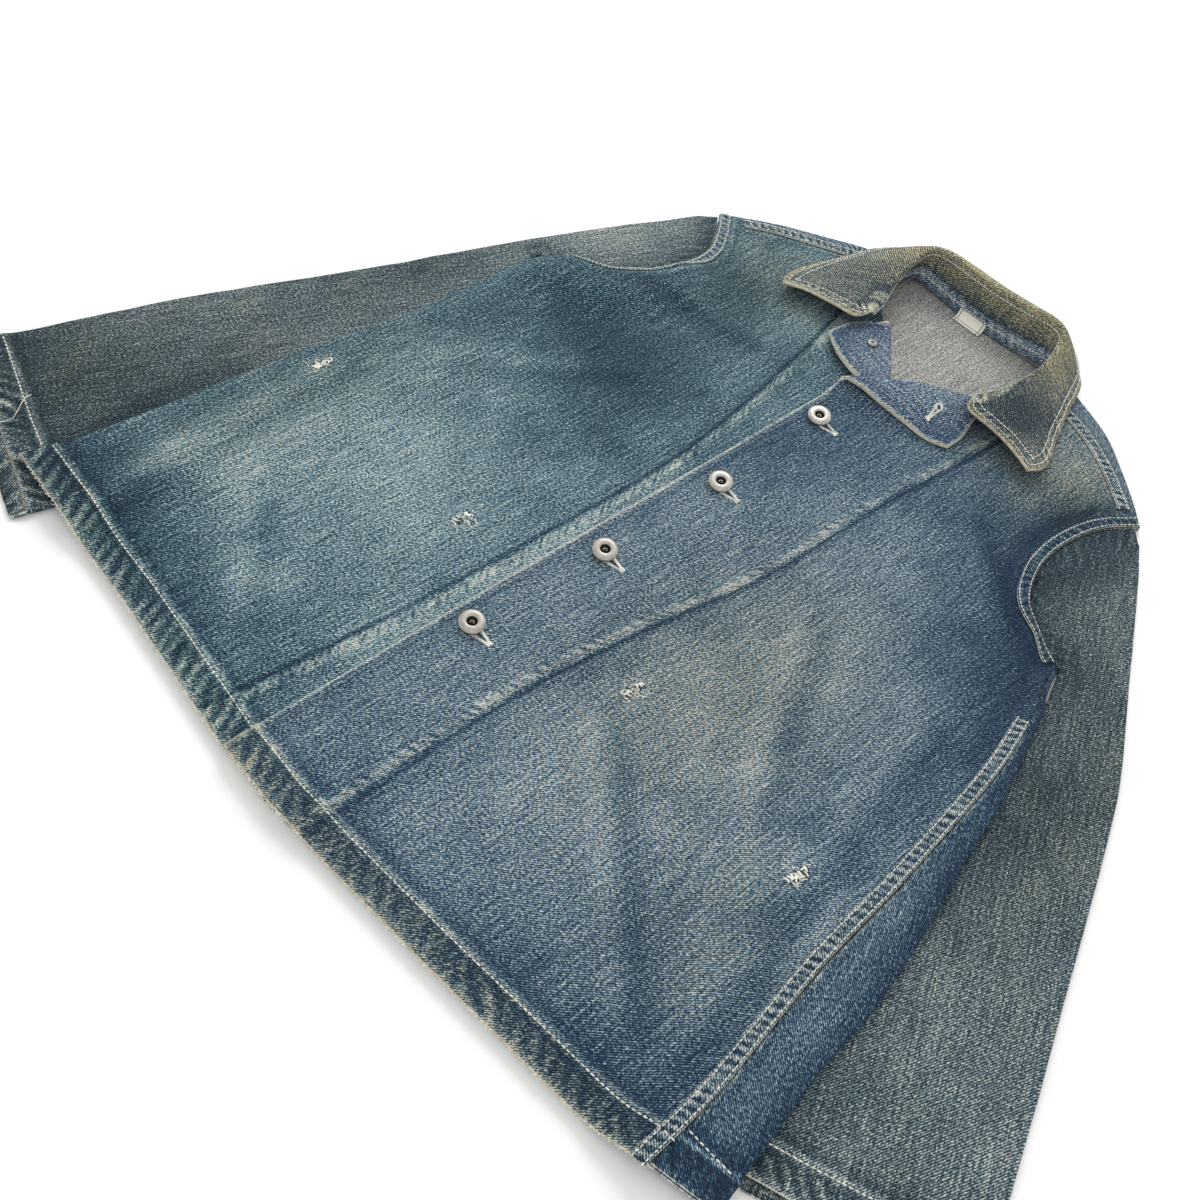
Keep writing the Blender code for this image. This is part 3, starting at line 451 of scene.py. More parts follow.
body_denim = denim("stone_washed_denim", BODY_RAMP, clouds=0.22)
teal_denim = denim("sun_faded_teal_denim", TEAL_RAMP, clouds=0.22)
sleeve_denim = denim("soiled_washed_denim", SLEEVE_RAMP, clouds=0.2, ribs=0.55,
                     base=0.42)
facing_denim = denim("clean_blue_denim", FACING_RAMP, clouds=0.12)
collar_denim = denim("collar_denim", COLLAR_RAMP, clouds=0.2)
weft_side = denim("denim_weft_side", WEFT_RAMP, clouds=0.08, ribs=0.3, speck=1.5, slubs=0.8)
worn_edge = denim("abraded_cotton_edge", EDGE_RAMP, clouds=0.1, ribs=0.0, speck=0.9)
print("denim finishes:", len([m for m in bpy.data.materials if "denim" in m.name]))

# %% [markdown]
# ## What a seam does to the cloth
# Thread shrinks less than cotton in the wash, so cloth puckers along every stitched line, and
# the puckers wear pale on top and stay dark between. A hem also has the ridge of its
# turned-in edge, and an edge rubs bare. The next cell turns the distance from a seam into
# three numbers for each point of a panel: how far it lifts, how rubbed it is and how much
# dye it keeps. They could be painted by hand, but a rule treats every seam alike.

# %% Puckers, ridges and rubbed edges
def ripple(along, depth, pitch, seed):
    """Uneven puckers across a seam, from -1 to 1."""
    wander = np.array([noise.noise(Vector((s / 26, seed, 0.3))) for s in along])
    strength = np.array([noise.noise(Vector((s / 17, seed, 9.1))) for s in along])
    return np.sin(2 * pi * (along + 0.75 * depth) / pitch + 5.0 * wander) * (0.7 + strength)


def smooth_all(low, high, values):
    share = np.clip((values - low) / (high - low), 0, 1)
    return share * share * (3 - 2 * share)


def bell(value, centre, width):
    return np.exp(-((value - centre) / width) ** 2)


def hem_look(spots, line, width, seed):
    depth, along = near_line(spots, line)
    inside = (depth < width) * np.sin(pi * np.clip(depth / width, 0, 1)) ** 0.6
    pucker = ripple(along, depth, 10.5, seed) * inside
    patchy = np.array([noise.noise(Vector((s / 9, seed, 4.2))) for s in along])
    lift = 0.55 * pucker + 0.5 * bell(depth, width + 1.4, 1.7) - 0.4 * bell(depth, width - 1.2, 1.0)
    rub = (0.64 * np.maximum(pucker, 0) + 0.4 * np.maximum(pucker, 0) * bell(depth, 0, 9)
           + 0.6 * bell(depth, 0, 2.2)
           + (0.60 + 0.5 * patchy) * bell(depth, width + 2.0, 2.2) + 0.25 * inside * patchy)
    keep_and_shade = (0.6 * np.maximum(-pucker, 0) + 0.55 * bell(depth, width - 1.6, 1.8)
            + 0.45 * bell(depth, width + 7, 5) + 0.15 * bell(depth, width + 16, 22) + 0.46 * inside)
    return lift, rub, keep_and_shade


def topstitch_look(spots, line, seed, ridge=0.6, strength=1.0):
    """A flat seam stitched through: a rubbed ridge on its line and a darker hollow beside it."""
    depth, along = near_line(spots, line)
    pucker = ripple(along, depth, 8.0, seed) * bell(depth, 0, 6)
    patchy = np.array([noise.noise(Vector((s / 13, seed, 2.2)))
                       + 0.7 * noise.noise(Vector((s / 4, seed, 6.2))) for s in along])
    lift = strength * (0.20 * pucker + 0.34 * bell(depth, ridge, 2.0))
    rub = strength * (0.22 * np.maximum(pucker, 0)
                      + (0.30 + 0.60 * patchy) * bell(depth, ridge, 1.6))
    keep_and_shade = strength * (0.28 * np.maximum(-pucker, 0) + 0.36 * bell(depth, ridge + 4.0, 2.4)
                       + 0.12 * bell(depth, 14, 12))
    return lift, rub, keep_and_shade


def facing_seam_look(spots, line, outer, seed):
    """The front's outer side over the end of its facing: a pale, pitted band with a dark rim."""
    depth, along = near_line(spots, line)
    rim, _ = near_line(spots, [(x + 4.8 * outer, y) for x, y in line])
    band = bell(depth, 0, 3.4)
    pucker = ripple(along, depth, 8.4, seed)
    patchy = np.array([noise.noise(Vector((s / 21, seed, 2.2))) for s in along])
    lift = band * (0.45 + 0.28 * pucker)
    rub = band * np.clip(0.46 + 0.7 * patchy + 0.36 * pucker, 0, 1.1)
    keep_and_shade = 0.95 * band * np.maximum(-pucker, 0) + 0.95 * bell(rim, 0, 1.5) + 0.16 * bell(rim, 0, 12)
    return lift, rub, keep_and_shade


def edge_look(spots, line, seed):
    """A finished edge: rubbed white on its very edge, with small puckers inside its stitching."""
    depth, along = near_line(spots, line)
    pucker = ripple(along, depth, 7.0, seed) * bell(depth, 3.0, 3.2)
    lift = 0.22 * pucker - 0.25 * bell(depth, 4.4, 0.8)
    rub = 0.95 * bell(depth, 0, 1.3) + 0.26 * np.maximum(pucker, 0)
    keep_and_shade = 0.40 * np.maximum(-pucker, 0) + 0.30 * bell(depth, 5.0, 2.5) + 0.12 * bell(depth, 10, 8)
    return lift, rub, keep_and_shade


def patches(spots, places):
    """Soft areas, paler above 0 and darker below: (x, y, reach_x, reach_y, amount)."""
    total = np.zeros(len(spots))
    for x, y, reach_x, reach_y, amount in places:
        total += amount * np.exp(-((spots[:, 0] - x) / reach_x) ** 2
                                 - ((spots[:, 1] - y) / reach_y) ** 2)
    return total

print("puckers on a hem, first values:", ripple(np.arange(3.0), np.zeros(3), 10.5, 1.0).round(2))

# %% [markdown]
# ## From a flat cut to a piece of cloth
# Each panel is a grid laid on its flat cut. Its flat coordinates become the UV map "cut", so
# the twill runs straight along the panel however it is turned. Then the points move to where
# the panel lies, lift along their normals, and Solidify gives the wall: the dyed side
# outside, the pale weft side inside and a rubbed edge between them.

# %% Making a sheet of cloth
def plan_mesh(patch, cut=None):
    """A grid whose points are moved onto a patch; the layer "flat" keeps the flat place."""
    rows, columns = len(patch) - 1, len(patch[0]) - 1
    mesh = bmesh.new()
    flat = mesh.verts.layers.float_vector.new("flat")
    bmesh.ops.create_grid(mesh, x_segments=columns, y_segments=rows, size=0.5)
    row = mesh.faces.layers.int.new("row")
    for face in mesh.faces:
        face[row] = int((face.calc_center_median().y + 0.5) * rows)
    for vert in mesh.verts:
        i, j = round((vert.co.x + 0.5) * columns), round((vert.co.y + 0.5) * rows)
        spot = patch[j][i]
        vert.co = Vector((spot[0], spot[1], spot[2] if len(spot) > 2 else 0.0))
        place = cut[j][i] if cut else spot
        vert[flat] = Vector((place[0], place[1], 0.0))
    return mesh


def settle(mesh):
    """Merges double points, cuts all faces to triangles and forgets empty ones."""
    bmesh.ops.remove_doubles(mesh, verts=mesh.verts, dist=0.02)
    bmesh.ops.dissolve_degenerate(mesh, edges=mesh.edges[:], dist=0.001)
    bmesh.ops.triangulate(mesh, faces=mesh.faces[:], quad_method="FIXED")


def make_cloth(name, mesh, look, wall, materials, side_of, face_up=True, edge_wall=None,
               edge_depth=None):
    """Turns a panel's mesh, in millimetres, into an object and says how to find places on it.

    side_of picks the faces that tell which side is up, and edge_depth measures how far each
    point is from a turned edge, where the wall is edge_wall thick.
    """
    flat = mesh.verts.layers.float_vector["flat"]
    mesh.verts.index_update()
    cut = np.array([vert[flat][:2] for vert in mesh.verts])
    spots = np.array([vert.co[:] for vert in mesh.verts])
    faces = np.array([[vert.index for vert in face.verts] for face in mesh.faces])
    corners = spots[faces]
    flats = np.cross(corners[:, 1] - corners[:, 0], corners[:, 2] - corners[:, 0])
    if (flats[side_of(spots[faces].mean(1)), 2].sum() > 0) != face_up:
        faces, flats = faces[:, ::-1], -flats
    normals = np.zeros_like(spots)
    for k in range(3):
        np.add.at(normals, faces[:, k], flats)
    normals /= np.maximum(np.linalg.norm(normals, axis=1), 1e-9)[:, None]
    area = float(np.linalg.norm(flats, axis=1).sum() / 2) * MM**2
    lift, rub, keep_and_shade, fade_and_shading, tan = look(cut, spots)
    spots = spots + normals * lift[:, None]

    data = bpy.data.meshes.new(name)
    data.from_pydata((spots - np.array(CENTRE)) * MM, [], faces.tolist())
    uv = data.uv_layers.new(name="cut")
    loops = np.zeros(len(data.loops), int)
    data.loops.foreach_get("vertex_index", loops)
    uv.data.foreach_set("uv", (cut[loops] * MM).astype(np.float32).ravel())
    for label, values in (("rub", rub), ("keep_and_shade", keep_and_shade), ("fade_and_shading", fade_and_shading), ("tan", tan)):
        layer = data.attributes.new(label, "FLOAT", "POINT")
        layer.data.foreach_set("value", np.clip(values, -1, 1.4).astype(np.float32))
    piece = bpy.data.objects.new(name, data)
    bpy.context.scene.collection.objects.link(piece)
    for material in materials:
        data.materials.append(material)
    if edge_wall:
        depths = edge_depth(cut, spots)
        # A turned hem shows the cloth's outer side inside, too
        for material in (materials[0], materials[0], materials[2]):
            data.materials.append(material)
        turned_in = depths[faces].mean(1) < HEM_WIDTH - 2
        data.polygons.foreach_set("material_index", np.where(turned_in, 3, 0).astype(np.int32))
    data.polygons.foreach_set("use_smooth", np.ones(len(faces), bool))
    shell = piece.modifiers.new("cloth wall", "SOLIDIFY")
    shell.offset, shell.thickness = 0.0, wall * MM
    shell.material_offset = 1 if len(materials) > 1 else 0
    shell.material_offset_rim = 2 if len(materials) > 2 else 0
    if edge_wall:
        group = piece.vertex_groups.new(name="turned edge")
        for index, depth in enumerate(depths):
            weight = smooth(HEM_WIDTH + HEM_FADE, HEM_WIDTH, depth)
            if weight > 0:
                group.add([index], weight, "REPLACE")
        shell.vertex_group, shell.thickness_vertex_group = group.name, wall / edge_wall
        shell.thickness = edge_wall * MM
    mesh.free()
    size = (cut.max(0) - cut.min(0)) * MM
    sheet = {"piece": piece, "spots": spots, "normals": normals, "faces": faces, "cut": cut,
             "flat": (float(size[0]), float(size[1])), "area": area,
             "tree": BVHTree.FromPolygons([(x, y, 0) for x, y in cut], faces.tolist()),
             "skin": BVHTree.FromPolygons(spots.tolist(), faces.tolist())}
    print(name, "points:", len(spots), " flat size, m:", size.round(3),
          " area:", round(area, 4))
    return sheet


def on_cloth(sheet, x, y, lift):
    """The place, in millimetres, over the spot (x, y) of a sheet's flat cut."""
    found, _, index, _ = sheet["tree"].find_nearest(Vector((x, y, 0)))
    face = sheet["faces"][index]
    flat = [Vector((*sheet["cut"][k], 0)) for k in face]
    raised = [Vector(sheet["spots"][k] + sheet["normals"][k] * lift) for k in face]
    return geometry.barycentric_transform(found, *flat, *raised)


def touch(sheet, spot, lift):
    """The place nearest to a 3-D spot on a sheet's middle, raised by lift on its outer side."""
    found, normal, _, _ = sheet["skin"].find_nearest(spot)
    return found + normal * lift


def lies_on(sheet):
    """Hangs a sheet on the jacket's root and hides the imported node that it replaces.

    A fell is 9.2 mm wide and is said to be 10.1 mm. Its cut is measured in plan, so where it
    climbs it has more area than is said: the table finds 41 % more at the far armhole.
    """
    piece = sheet["piece"]
    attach(piece, "root")
    node_name = piece.name.removesuffix("_cloth")
    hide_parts(node_name)

# %% [markdown]
# ## The back
# The back is one panel. It lies on the table with its weft side up, and only that pale grey
# side shows, inside the neck. Its side edges roll up and over to the side seams, which lie
# on the front of a jacket that is cut wide. A modelled solid torso would be the wrong
# shape here, because there is nobody in it.

# %% The back panel
SIDE_ROWS, ARM_ROWS, SHOULDER_COLUMNS = 150, 60, 48
# Pale areas of the back, and painted shade at the hem corner of the strip beside the sleeve.
BACK_FADES_AND_SHADING = [(0, 660, 90, 30, 0.10), (0, 560, 160, 90, 0.05), (312, 26, 28, 18, -0.7)]


def rolled(step_count, radius, wrap, wrap_steps):
    """Distances past a rolled edge: round the roll and then along the wrap."""
    turns = [pi * radius * k / step_count for k in range(1, step_count + 1)]
    return turns + [pi * radius + wrap * k / wrap_steps for k in range(1, wrap_steps + 1)]


def hem_points(start_x, end_x, count):
    xs = [start_x + (end_x - start_x) * i / count for i in range(count + 1)]
    return [Vector((x, across(HEM, x, axis=0))) for x in xs]


def back_panel():
    neck_columns, radius = 34, EDGE_RADIUS
    far = [(across(FAR_FOLD, y) + radius + across(FAR_WRAP, y, axis=0) + 2 * SEAM_GAP, y)
           for y in (27, 60, 120, 180, 250, 300, 340, 370, 400, 430)]
    far = samples(far + [FAR_FOLD[-1]], SIDE_ROWS)
    far = far[:-1] + beside(samples(FAR_ARMHOLE, ARM_ROWS), -SEAM_GAP)
    near = samples(shift(NEAR_FOLD, -radius), SIDE_ROWS)
    near = near[:-1] + beside(samples(NEAR_ARMHOLE, ARM_ROWS), SEAM_GAP)
    far_fold = samples(FAR_SHOULDER_FOLD[::-1], SHOULDER_COLUMNS)
    far_seam = samples(FAR_SHOULDER[::-1], SHOULDER_COLUMNS)
    near_fold = samples(NEAR_SHOULDER_FOLD, SHOULDER_COLUMNS)
    near_seam = samples(NEAR_SHOULDER, SHOULDER_COLUMNS)
    neck = samples(BACK_NECK, neck_columns)[1:-1]
    outward = [(a - b).normalized() for a, b in zip(far_fold, far_seam)]
    outward += [None] * len(neck)
    outward += [(a - b).normalized() for a, b in zip(near_fold, near_seam)]
    folds, seams = far_fold + neck + near_fold, far_seam + neck + near_seam
    top = [spot - way * radius if way else spot - Vector((0, 5))
           for spot, way in zip(folds, outward)]
    bottom = [spot + Vector((0, 1.5)) for spot in hem_points(far[0].x, near[0].x, len(top) - 1)]
    near[0], far[0], near[-1], far[-1] = bottom[-1], bottom[0], top[-1], top[0]
    rows, cut = [], []
    for j, row in enumerate(coons(bottom, top, far, near)):
        edge = row[-1]
        points = [Vector((p.x, p.y, back_height(p.x, p.y))) for p in row]
        flat = list(row)
        wrap = across(NEAR_FOLD, edge.y) - radius - across(SIDE_SEAM, edge.y) - SEAM_GAP
        for distance in rolled(8, radius, max(wrap, 0.6), 10):
            turn = min(distance / radius, pi)
            if j >= SIDE_ROWS:
                points.append(points[-1].copy())
                flat.append(flat[-1])
                continue
            x = edge.x + radius * sin(turn) - max(distance - pi * radius, 0)
            base = back_height(min(x, edge.x), edge.y)
            drop = across(HEM, x, axis=0) - across(HEM, edge.x, axis=0)
            y = edge.y + drop * smooth(90, 0, edge.y - HEM[-1][1])
            points.append(Vector((x, y, base + radius * (1 - cos(turn)))))
            flat.append(Vector((edge.x + distance, y)))
        rows.append(points)
        cut.append(flat)
    last, last_flat = rows[-1], cut[-1]
    for step in range(1, 12):
        extra, flat = [], []
        for spot, place, seam, way in zip(last, last_flat, seams, outward):
            turn = pi * min(step / 8, 1)
            if way is None:
                extra.append(spot + Vector((0, step * 5 / 11, 0)))
                flat.append(place + Vector((0, step * 5 / 11)))
                continue
            share = max(step - 8, 0) / 3
            move = way * radius * sin(turn)
            end = seam + way * SEAM_GAP
            start = Vector((spot.x, spot.y))
            here = start + move + (end - start) * share
            extra.append(Vector((here.x, here.y, spot.z + radius * (1 - cos(turn)))))
            flat.append(place + way * (radius * turn + (end - start).length * share))
        rows.append(extra + [extra[-1].copy() for _ in range(len(last) - len(extra))])
        cut.append(flat + [flat[-1].copy() for _ in range(len(last) - len(flat))])
    return rows, cut


def hem_depth(cut, spots):
    """How far each point of a flat cut is above the hem."""
    return cut[:, 1] - np.interp(cut[:, 0], [p[0] for p in HEM], [p[1] for p in HEM])


def back_hem_depth(cut, spots):
    """The same for the back, whose sides are rolled over, so its laid points are measured."""
    return hem_depth(spots, spots)


def back_look(cut, spots):
    plan = spots[:, :2]
    _, rub, keep_and_shade = hem_look(plan, HEM, HEM_BAND, 1.7)
    over = (spots[:, 2] > LAYER * 0.8).astype(float)
    _, seam_rub, seam_keep = topstitch_look(plan, SIDE_SEAM[:-2], 3.4, strength=0.8)
    rub, keep_and_shade = rub + seam_rub * over, keep_and_shade + seam_keep * over
    fade_and_shading = patches(spots, BACK_FADES_AND_SHADING)
    # Painted shade on the strip that is rolled over onto the front, darkest along its fold.
    fade_and_shading -= over * (0.15 + 0.9 * bell(near_line(plan, NEAR_FOLD)[0], 0, 10))
    return np.zeros(len(spots)), rub, keep_and_shade, fade_and_shading, np.full(len(spots), 0.06)


rows, cut = back_panel()
mesh = plan_mesh(rows, cut)
settle(mesh)
back = make_cloth("back_cloth", mesh, back_look, WALL, [body_denim, weft_side, worn_edge],
                  side_of=lambda middles: middles[:, 2] < 2.0, face_up=False,
                  edge_wall=HEM_WALL, edge_depth=back_hem_depth)
lies_on(back)

# %% [markdown]
# ## The two fronts
# The fronts carry the look of the jacket: a straight placket, a long stitched line where the
# facing ends inside, and a lapel turned out at the top. A lapel is the same cloth as the
# front, rolled back over itself, so it isn't a piece of its own. The panel is cut flat, a few
# extra edges are cut along the roll, and then each point is carried round a cone.

# %% Cutting a front
STRIP_COLUMNS, GAP_COLUMNS = 30, 4        # from the edge to the facing seam, and past the neck


def front_patch(free_edge, facing_seam, side, neck, shoulder):
    """Plan points of a front: free edge, facing seam, and then out to the side."""
    rows = SIDE_ROWS + ARM_ROWS
    free, seam = samples(free_edge, rows), samples(facing_seam, rows)
    start, end = Vector(neck[-1]), shoulder[0]
    body_top = [start + (end - start) * k / GAP_COLUMNS for k in range(GAP_COLUMNS)] + shoulder
    strip_hem = hem_points(free[0].x, seam[0].x, STRIP_COLUMNS)
    body_hem = hem_points(seam[0].x, side[0].x, len(body_top) - 1)
    strip_top = samples(neck, STRIP_COLUMNS)
    free[0], seam[0], side[0] = strip_hem[0], strip_hem[-1], body_hem[-1]
    free[-1], seam[-1], side[-1] = strip_top[0], strip_top[-1], body_top[-1]
    strip = coons(strip_hem, strip_top, free, seam)
    body = coons(body_hem, body_top, seam, side)
    return [a + b[1:] for a, b in zip(strip, body)]


def left_front_patch():
    seam = samples(shift(SIDE_SEAM, -1.5 * SEAM_GAP), SIDE_ROWS)
    armhole = beside(samples(NEAR_ARMHOLE, ARM_ROWS), SEAM_GAP)
    shoulder = beside(samples(NEAR_SHOULDER, 82), -SEAM_GAP)
    return front_patch(LEFT_EDGE, LEFT_FACING_SEAM, seam + armhole[1:], LEFT_NECK, shoulder)


def right_front_patch():
    fold = samples(shift(FAR_FOLD, EDGE_RADIUS), SIDE_ROWS)
    armhole = beside(samples(FAR_ARMHOLE, ARM_ROWS), -SEAM_GAP)
    shoulder = beside(samples(FAR_SHOULDER, 82), SEAM_GAP)
    return front_patch(RIGHT_EDGE, RIGHT_FACING_SEAM, fold[:-1] + armhole, RIGHT_NECK, shoulder)


LAPELS_FROM_Y = 518


def roll_cuts(mesh, lapel):
    """Adds edges along a roll so that the panel turns over cleanly there."""
    low, high = Vector((*lapel["low"], 0)), Vector((*lapel["high"], 0))
    way = (high - low).normalized()
    inward = Vector((-way.y, way.x, 0)) * lapel["side"]
    for step in (-4, -1, *range(9), 12):
        near = [face for face in mesh.faces if face.calc_center_median().y > LAPELS_FROM_Y]
        edges = {edge for face in near for edge in face.edges}
        verts = {vert for face in near for vert in face.verts}
        ends = [end + inward * radius * (pi * step / 8 - 1)
                for end, radius in zip((low, high), lapel["radii"])]
        line = (ends[1] - ends[0]).normalized()
        bmesh.ops.bisect_plane(mesh, geom=[*near, *edges, *verts], dist=0.15,
                               plane_co=ends[0], plane_no=Vector((-line.y, line.x, 0)))


def front_mesh(patch, lapel):
    mesh = plan_mesh(patch)
    roll_cuts(mesh, lapel)
    flat = mesh.verts.layers.float_vector["flat"]
    for vert in mesh.verts:
        vert[flat] = vert.co.copy()
    settle(mesh)
    return mesh


left_patch, right_patch = left_front_patch(), right_front_patch()
print("left front grid:", len(left_patch), "rows of", len(left_patch[0]))

# %% Laying the left front
WORN_HOLES = [(-224, 227), (-70, 218), (93, 211), (241, 190)]
# Pale and dark areas: partly wash fading, partly painted shade by the armhole and along the side.
LEFT_FADES_AND_SHADING = [
    (150, 230, 60, 120, 0.27), (120, 390, 70, 110, 0.06), (30, 250, 30, 190, -0.06),
    (14, 495, 50, 80, -0.60), (150, 60, 120, 42, 0.02), (205, 432, 50, 78, -0.95),
    (250, 45, 30, 50, -0.6), (247, 162, 15, 26, -0.75), (272, 180, 12, 40, 0.6),
    (223, 228, 20, 26, -0.3), (160, 478, 26, 26, -0.3), (172, 560, 16, 40, -0.75),
    (197, 98, 30, 30, -0.35), (138, 508, 36, 28, -0.5), (178, 545, 34, 50, -0.7),
    (250, 356, 28, 60, -0.8), (95, 119, 30, 40, 0.35), (-4, 18, 26, 20, 0.5),
    (54, 12, 16, 16, 0.3), (46, 142, 18, 40, 0.25), (155, 305, 26, 36, 0.25),
    (182, 236, 18, 24, 0.25), (231, 132, 16, 20, 0.25), (186, 38, 30, 20, -0.3),
    (140, 600, 50, 36, 0.42), (95, 520, 40, 50, -0.28), (240, 320, 26, 90, 0.06),
    (235, 110, 40, 60, 0.12), (17, 69, 34, 50, -0.12), (34, 440, 30, 60, -0.14)]
LEFT_TANS = [(150, 590, 60, 60, 0.75), (60, 620, 40, 40, 0.3), (125, 260, 70, 120, 0.50),
             (235, 120, 50, 60, 0.25)]


def edge_outline(edge, neck):
    """A front's free edge and the part of its neckline that is turned out with it."""
    return [tuple(p) for p in samples(edge, 60)] + [tuple(p) for p in samples(neck, 24)][:14]


def below_lapels(middles):
    return middles[:, 1] < 500


def front_seams(cut, armhole, shoulder, facing_seam, edge, neck, outer, seed):
    """Adds up what the hem, placket, facing seam, armhole and shoulder do to a front."""
    looks = [hem_look(cut, HEM, HEM_BAND, seed),
             edge_look(cut, edge_outline(edge, neck), seed + 1),
             facing_seam_look(cut, samples(facing_seam, 60), outer, seed + 2),
             topstitch_look(cut, samples(armhole, 40), seed + 3, 13, 0.5),
             topstitch_look(cut, samples(shoulder, 40), seed + 4, 13, 0.4)]
    return [sum(look[k] for look in looks) for k in range(3)]


def fold_wear_and_shade(cut, rub, keep_and_shade):
    """Folds: worn pale and a painted highlight on each crest, painted shade beside it."""
    for start, end, *_ in FRONT_FOLDS:
        depth, _ = near_line(cut, [start, end])
        # A line beside each fold, always offset the same way, where shade is painted.
        aside = near_line(cut, [(start[0] + 16, start[1] + 5), (end[0] + 16, end[1] + 5)])[0]
        rub += 0.11 * bell(depth, 0, 9)
        keep_and_shade += 0.30 * bell(aside, 0, 9)
    return rub, keep_and_shade


def holes(cut, rub):
    """The cloth is rubbed pale around each frayed place."""
    for x, y in WORN_HOLES:
        gap = np.hypot(cut[:, 0] - x, (cut[:, 1] - y) * 0.8)
        rub += 0.10 * bell(gap, 0, 11.0) + 0.25 * bell(gap, 0, 3.0)
    return rub


def left_look(cut, spots):
    lift, rub, keep_and_shade = front_seams(cut, NEAR_ARMHOLE, NEAR_SHOULDER, LEFT_FACING_SEAM,
                                  LEFT_EDGE, LEFT_NECK, 1, 11.0)
    side, _ = near_line(cut, SIDE_SEAM[:-1])
    lift *= 1 - 0.9 * bell(side, 0, 11)
    keep_and_shade += 0.20 * bell(side, 16, 9) + 0.10 * bell(side, 0, 40)
    fade_and_shading = patches(cut, LEFT_FADES_AND_SHADING)
    tan = 0.05 + patches(cut, LEFT_TANS)
    rub, keep_and_shade = fold_wear_and_shade(cut, rub, keep_and_shade)
    tan += 0.45 * smooth_all(25, 17, hem_depth(cut, spots)) + 0.3 * rub
    # Painted shade along the armhole, where the front's edge rides over the sleeve.
    keep_and_shade += 0.55 * bell(near_line(cut, samples(NEAR_ARMHOLE, 40))[0], 6, 14)
    return lift, holes(cut, rub), keep_and_shade, fade_and_shading, np.clip(tan, 0, 1)


mesh = front_mesh(left_patch, LEFT_LAPEL)
for vert in mesh.verts:
    vert.co = turn_out(vert.co.x, vert.co.y, LEFT_LAPEL, left_height)
left_front = make_cloth("left_front_cloth", mesh, left_look, WALL,
                        [body_denim, weft_side, worn_edge], edge_wall=HEM_WALL,
                        edge_depth=hem_depth, side_of=below_lapels)
lies_on(left_front)

# %% Laying the right front
# Pale and dark areas: partly wash fading, partly painted shade and painted light, most of all
# around the bulge by the armhole.
RIGHT_FADES_AND_SHADING = [
    (-140, 190, 62, 130, 0.38), (-85, 385, 46, 95, -0.55), (-32, 520, 30, 44, -0.5),
    (-98, 86, 26, 22, 0.6), (-204, 92, 18, 26, 0.4), (-212, 345, 28, 44, -0.45),
    (-145, 108, 26, 26, -0.25), (-230, 132, 20, 40, -0.3), (-153, 548, 30, 30, -0.35),
    (-71, 571, 26, 30, 0.4), (-134, 280, 36, 36, -0.3), (-226, 227, 20, 50, -0.3),
    (-14, 240, 16, 90, 0.6), (-62, 96, 22, 26, -0.3), (-36, 119, 18, 30, 0.4),
    (-117, 144, 22, 26, -0.25), (-104, 26, 40, 16, 0.12), (-200, 160, 40, 90, 0.20),
    (-20, 250, 26, 240, 0.04), (-150, 420, 80, 56, -0.95), (-130, 524, 50, 50, -0.40),
    (-106, 49, 54, 44, -0.26), (-45, 279, 20, 60, -0.12), (-168, 372, 42, 40, -0.08),
    (-120, 610, 60, 40, -0.20), (-60, 480, 40, 70, 0.12), (-190, 56, 110, 36, -0.62),
    (-236, 100, 18, 200, -0.25)]
RIGHT_TANS = [(-215, 200, 40, 160, 0.30), (-125, 575, 60, 60, 0.55), (-120, 460, 80, 50, 0.12)]
RIGHT_CREASE_SHADE_LINE = [(-188, 466), (-139, 490), (-83, 506)]


def right_look(cut, spots):
    lift, rub, keep_and_shade = front_seams(cut, FAR_ARMHOLE, FAR_SHOULDER, RIGHT_FACING_SEAM,
                                  RIGHT_EDGE, RIGHT_NECK, -1, 23.0)
    lift *= np.clip((spots[:, 2] - 2.6) / 1.5, 0, 1)
    fade_and_shading = patches(cut, RIGHT_FADES_AND_SHADING)
    tan = patches(cut, RIGHT_TANS)
    rub, keep_and_shade = fold_wear_and_shade(cut, rub, keep_and_shade)
    # Painted shade along the crease from the armhole towards the collar, below the front's bulge.
    crease_shade, _ = near_line(cut, RIGHT_CREASE_SHADE_LINE)
    keep_and_shade += 0.34 * bell(crease_shade, 0, 9)
    tan += 0.3 * smooth_all(25, 17, hem_depth(cut, spots)) + 0.3 * rub
    return lift, holes(cut, rub), keep_and_shade, fade_and_shading, np.clip(tan, 0, 1)


rows = []
for j, row in enumerate(right_patch):
    points = list(row)
    for distance in rolled(8, EDGE_RADIUS, across(FAR_WRAP, row[-1].y, axis=0), 10):
        points.append(Vector((row[-1].x - (distance if j < SIDE_ROWS else 0), row[-1].y)))
    rows.append(points)
mesh = front_mesh(rows, RIGHT_LAPEL)
for vert in mesh.verts:
    x, y = vert.co.x, vert.co.y
    fold = across(FAR_FOLD, y) + EDGE_RADIUS
    past = fold - x
    if y > FAR_FOLD[-1][1] - 2 or past <= 0.01:
        vert.co = turn_out(x, y, RIGHT_LAPEL, right_height)
    elif past < pi * EDGE_RADIUS:
        turn = past / EDGE_RADIUS
        rise = LAYER - EDGE_RADIUS * (1 - cos(turn))
        vert.co = Vector((fold - EDGE_RADIUS * sin(turn), y, right_height(fold, y) - LAYER + rise))
    else:
        x = fold + past - pi * EDGE_RADIUS
        vert.co = Vector((x, y, back_height(x, y)))
right_front = make_cloth("right_front_cloth", mesh, right_look, WALL,
                         [teal_denim, weft_side, worn_edge], edge_wall=HEM_WALL,
                         edge_depth=hem_depth,
                         side_of=lambda middles: (middles[:, 1] < 500) & (middles[:, 2] > 3.2)
                         & (middles[:, 0] > -220))
lies_on(right_front)

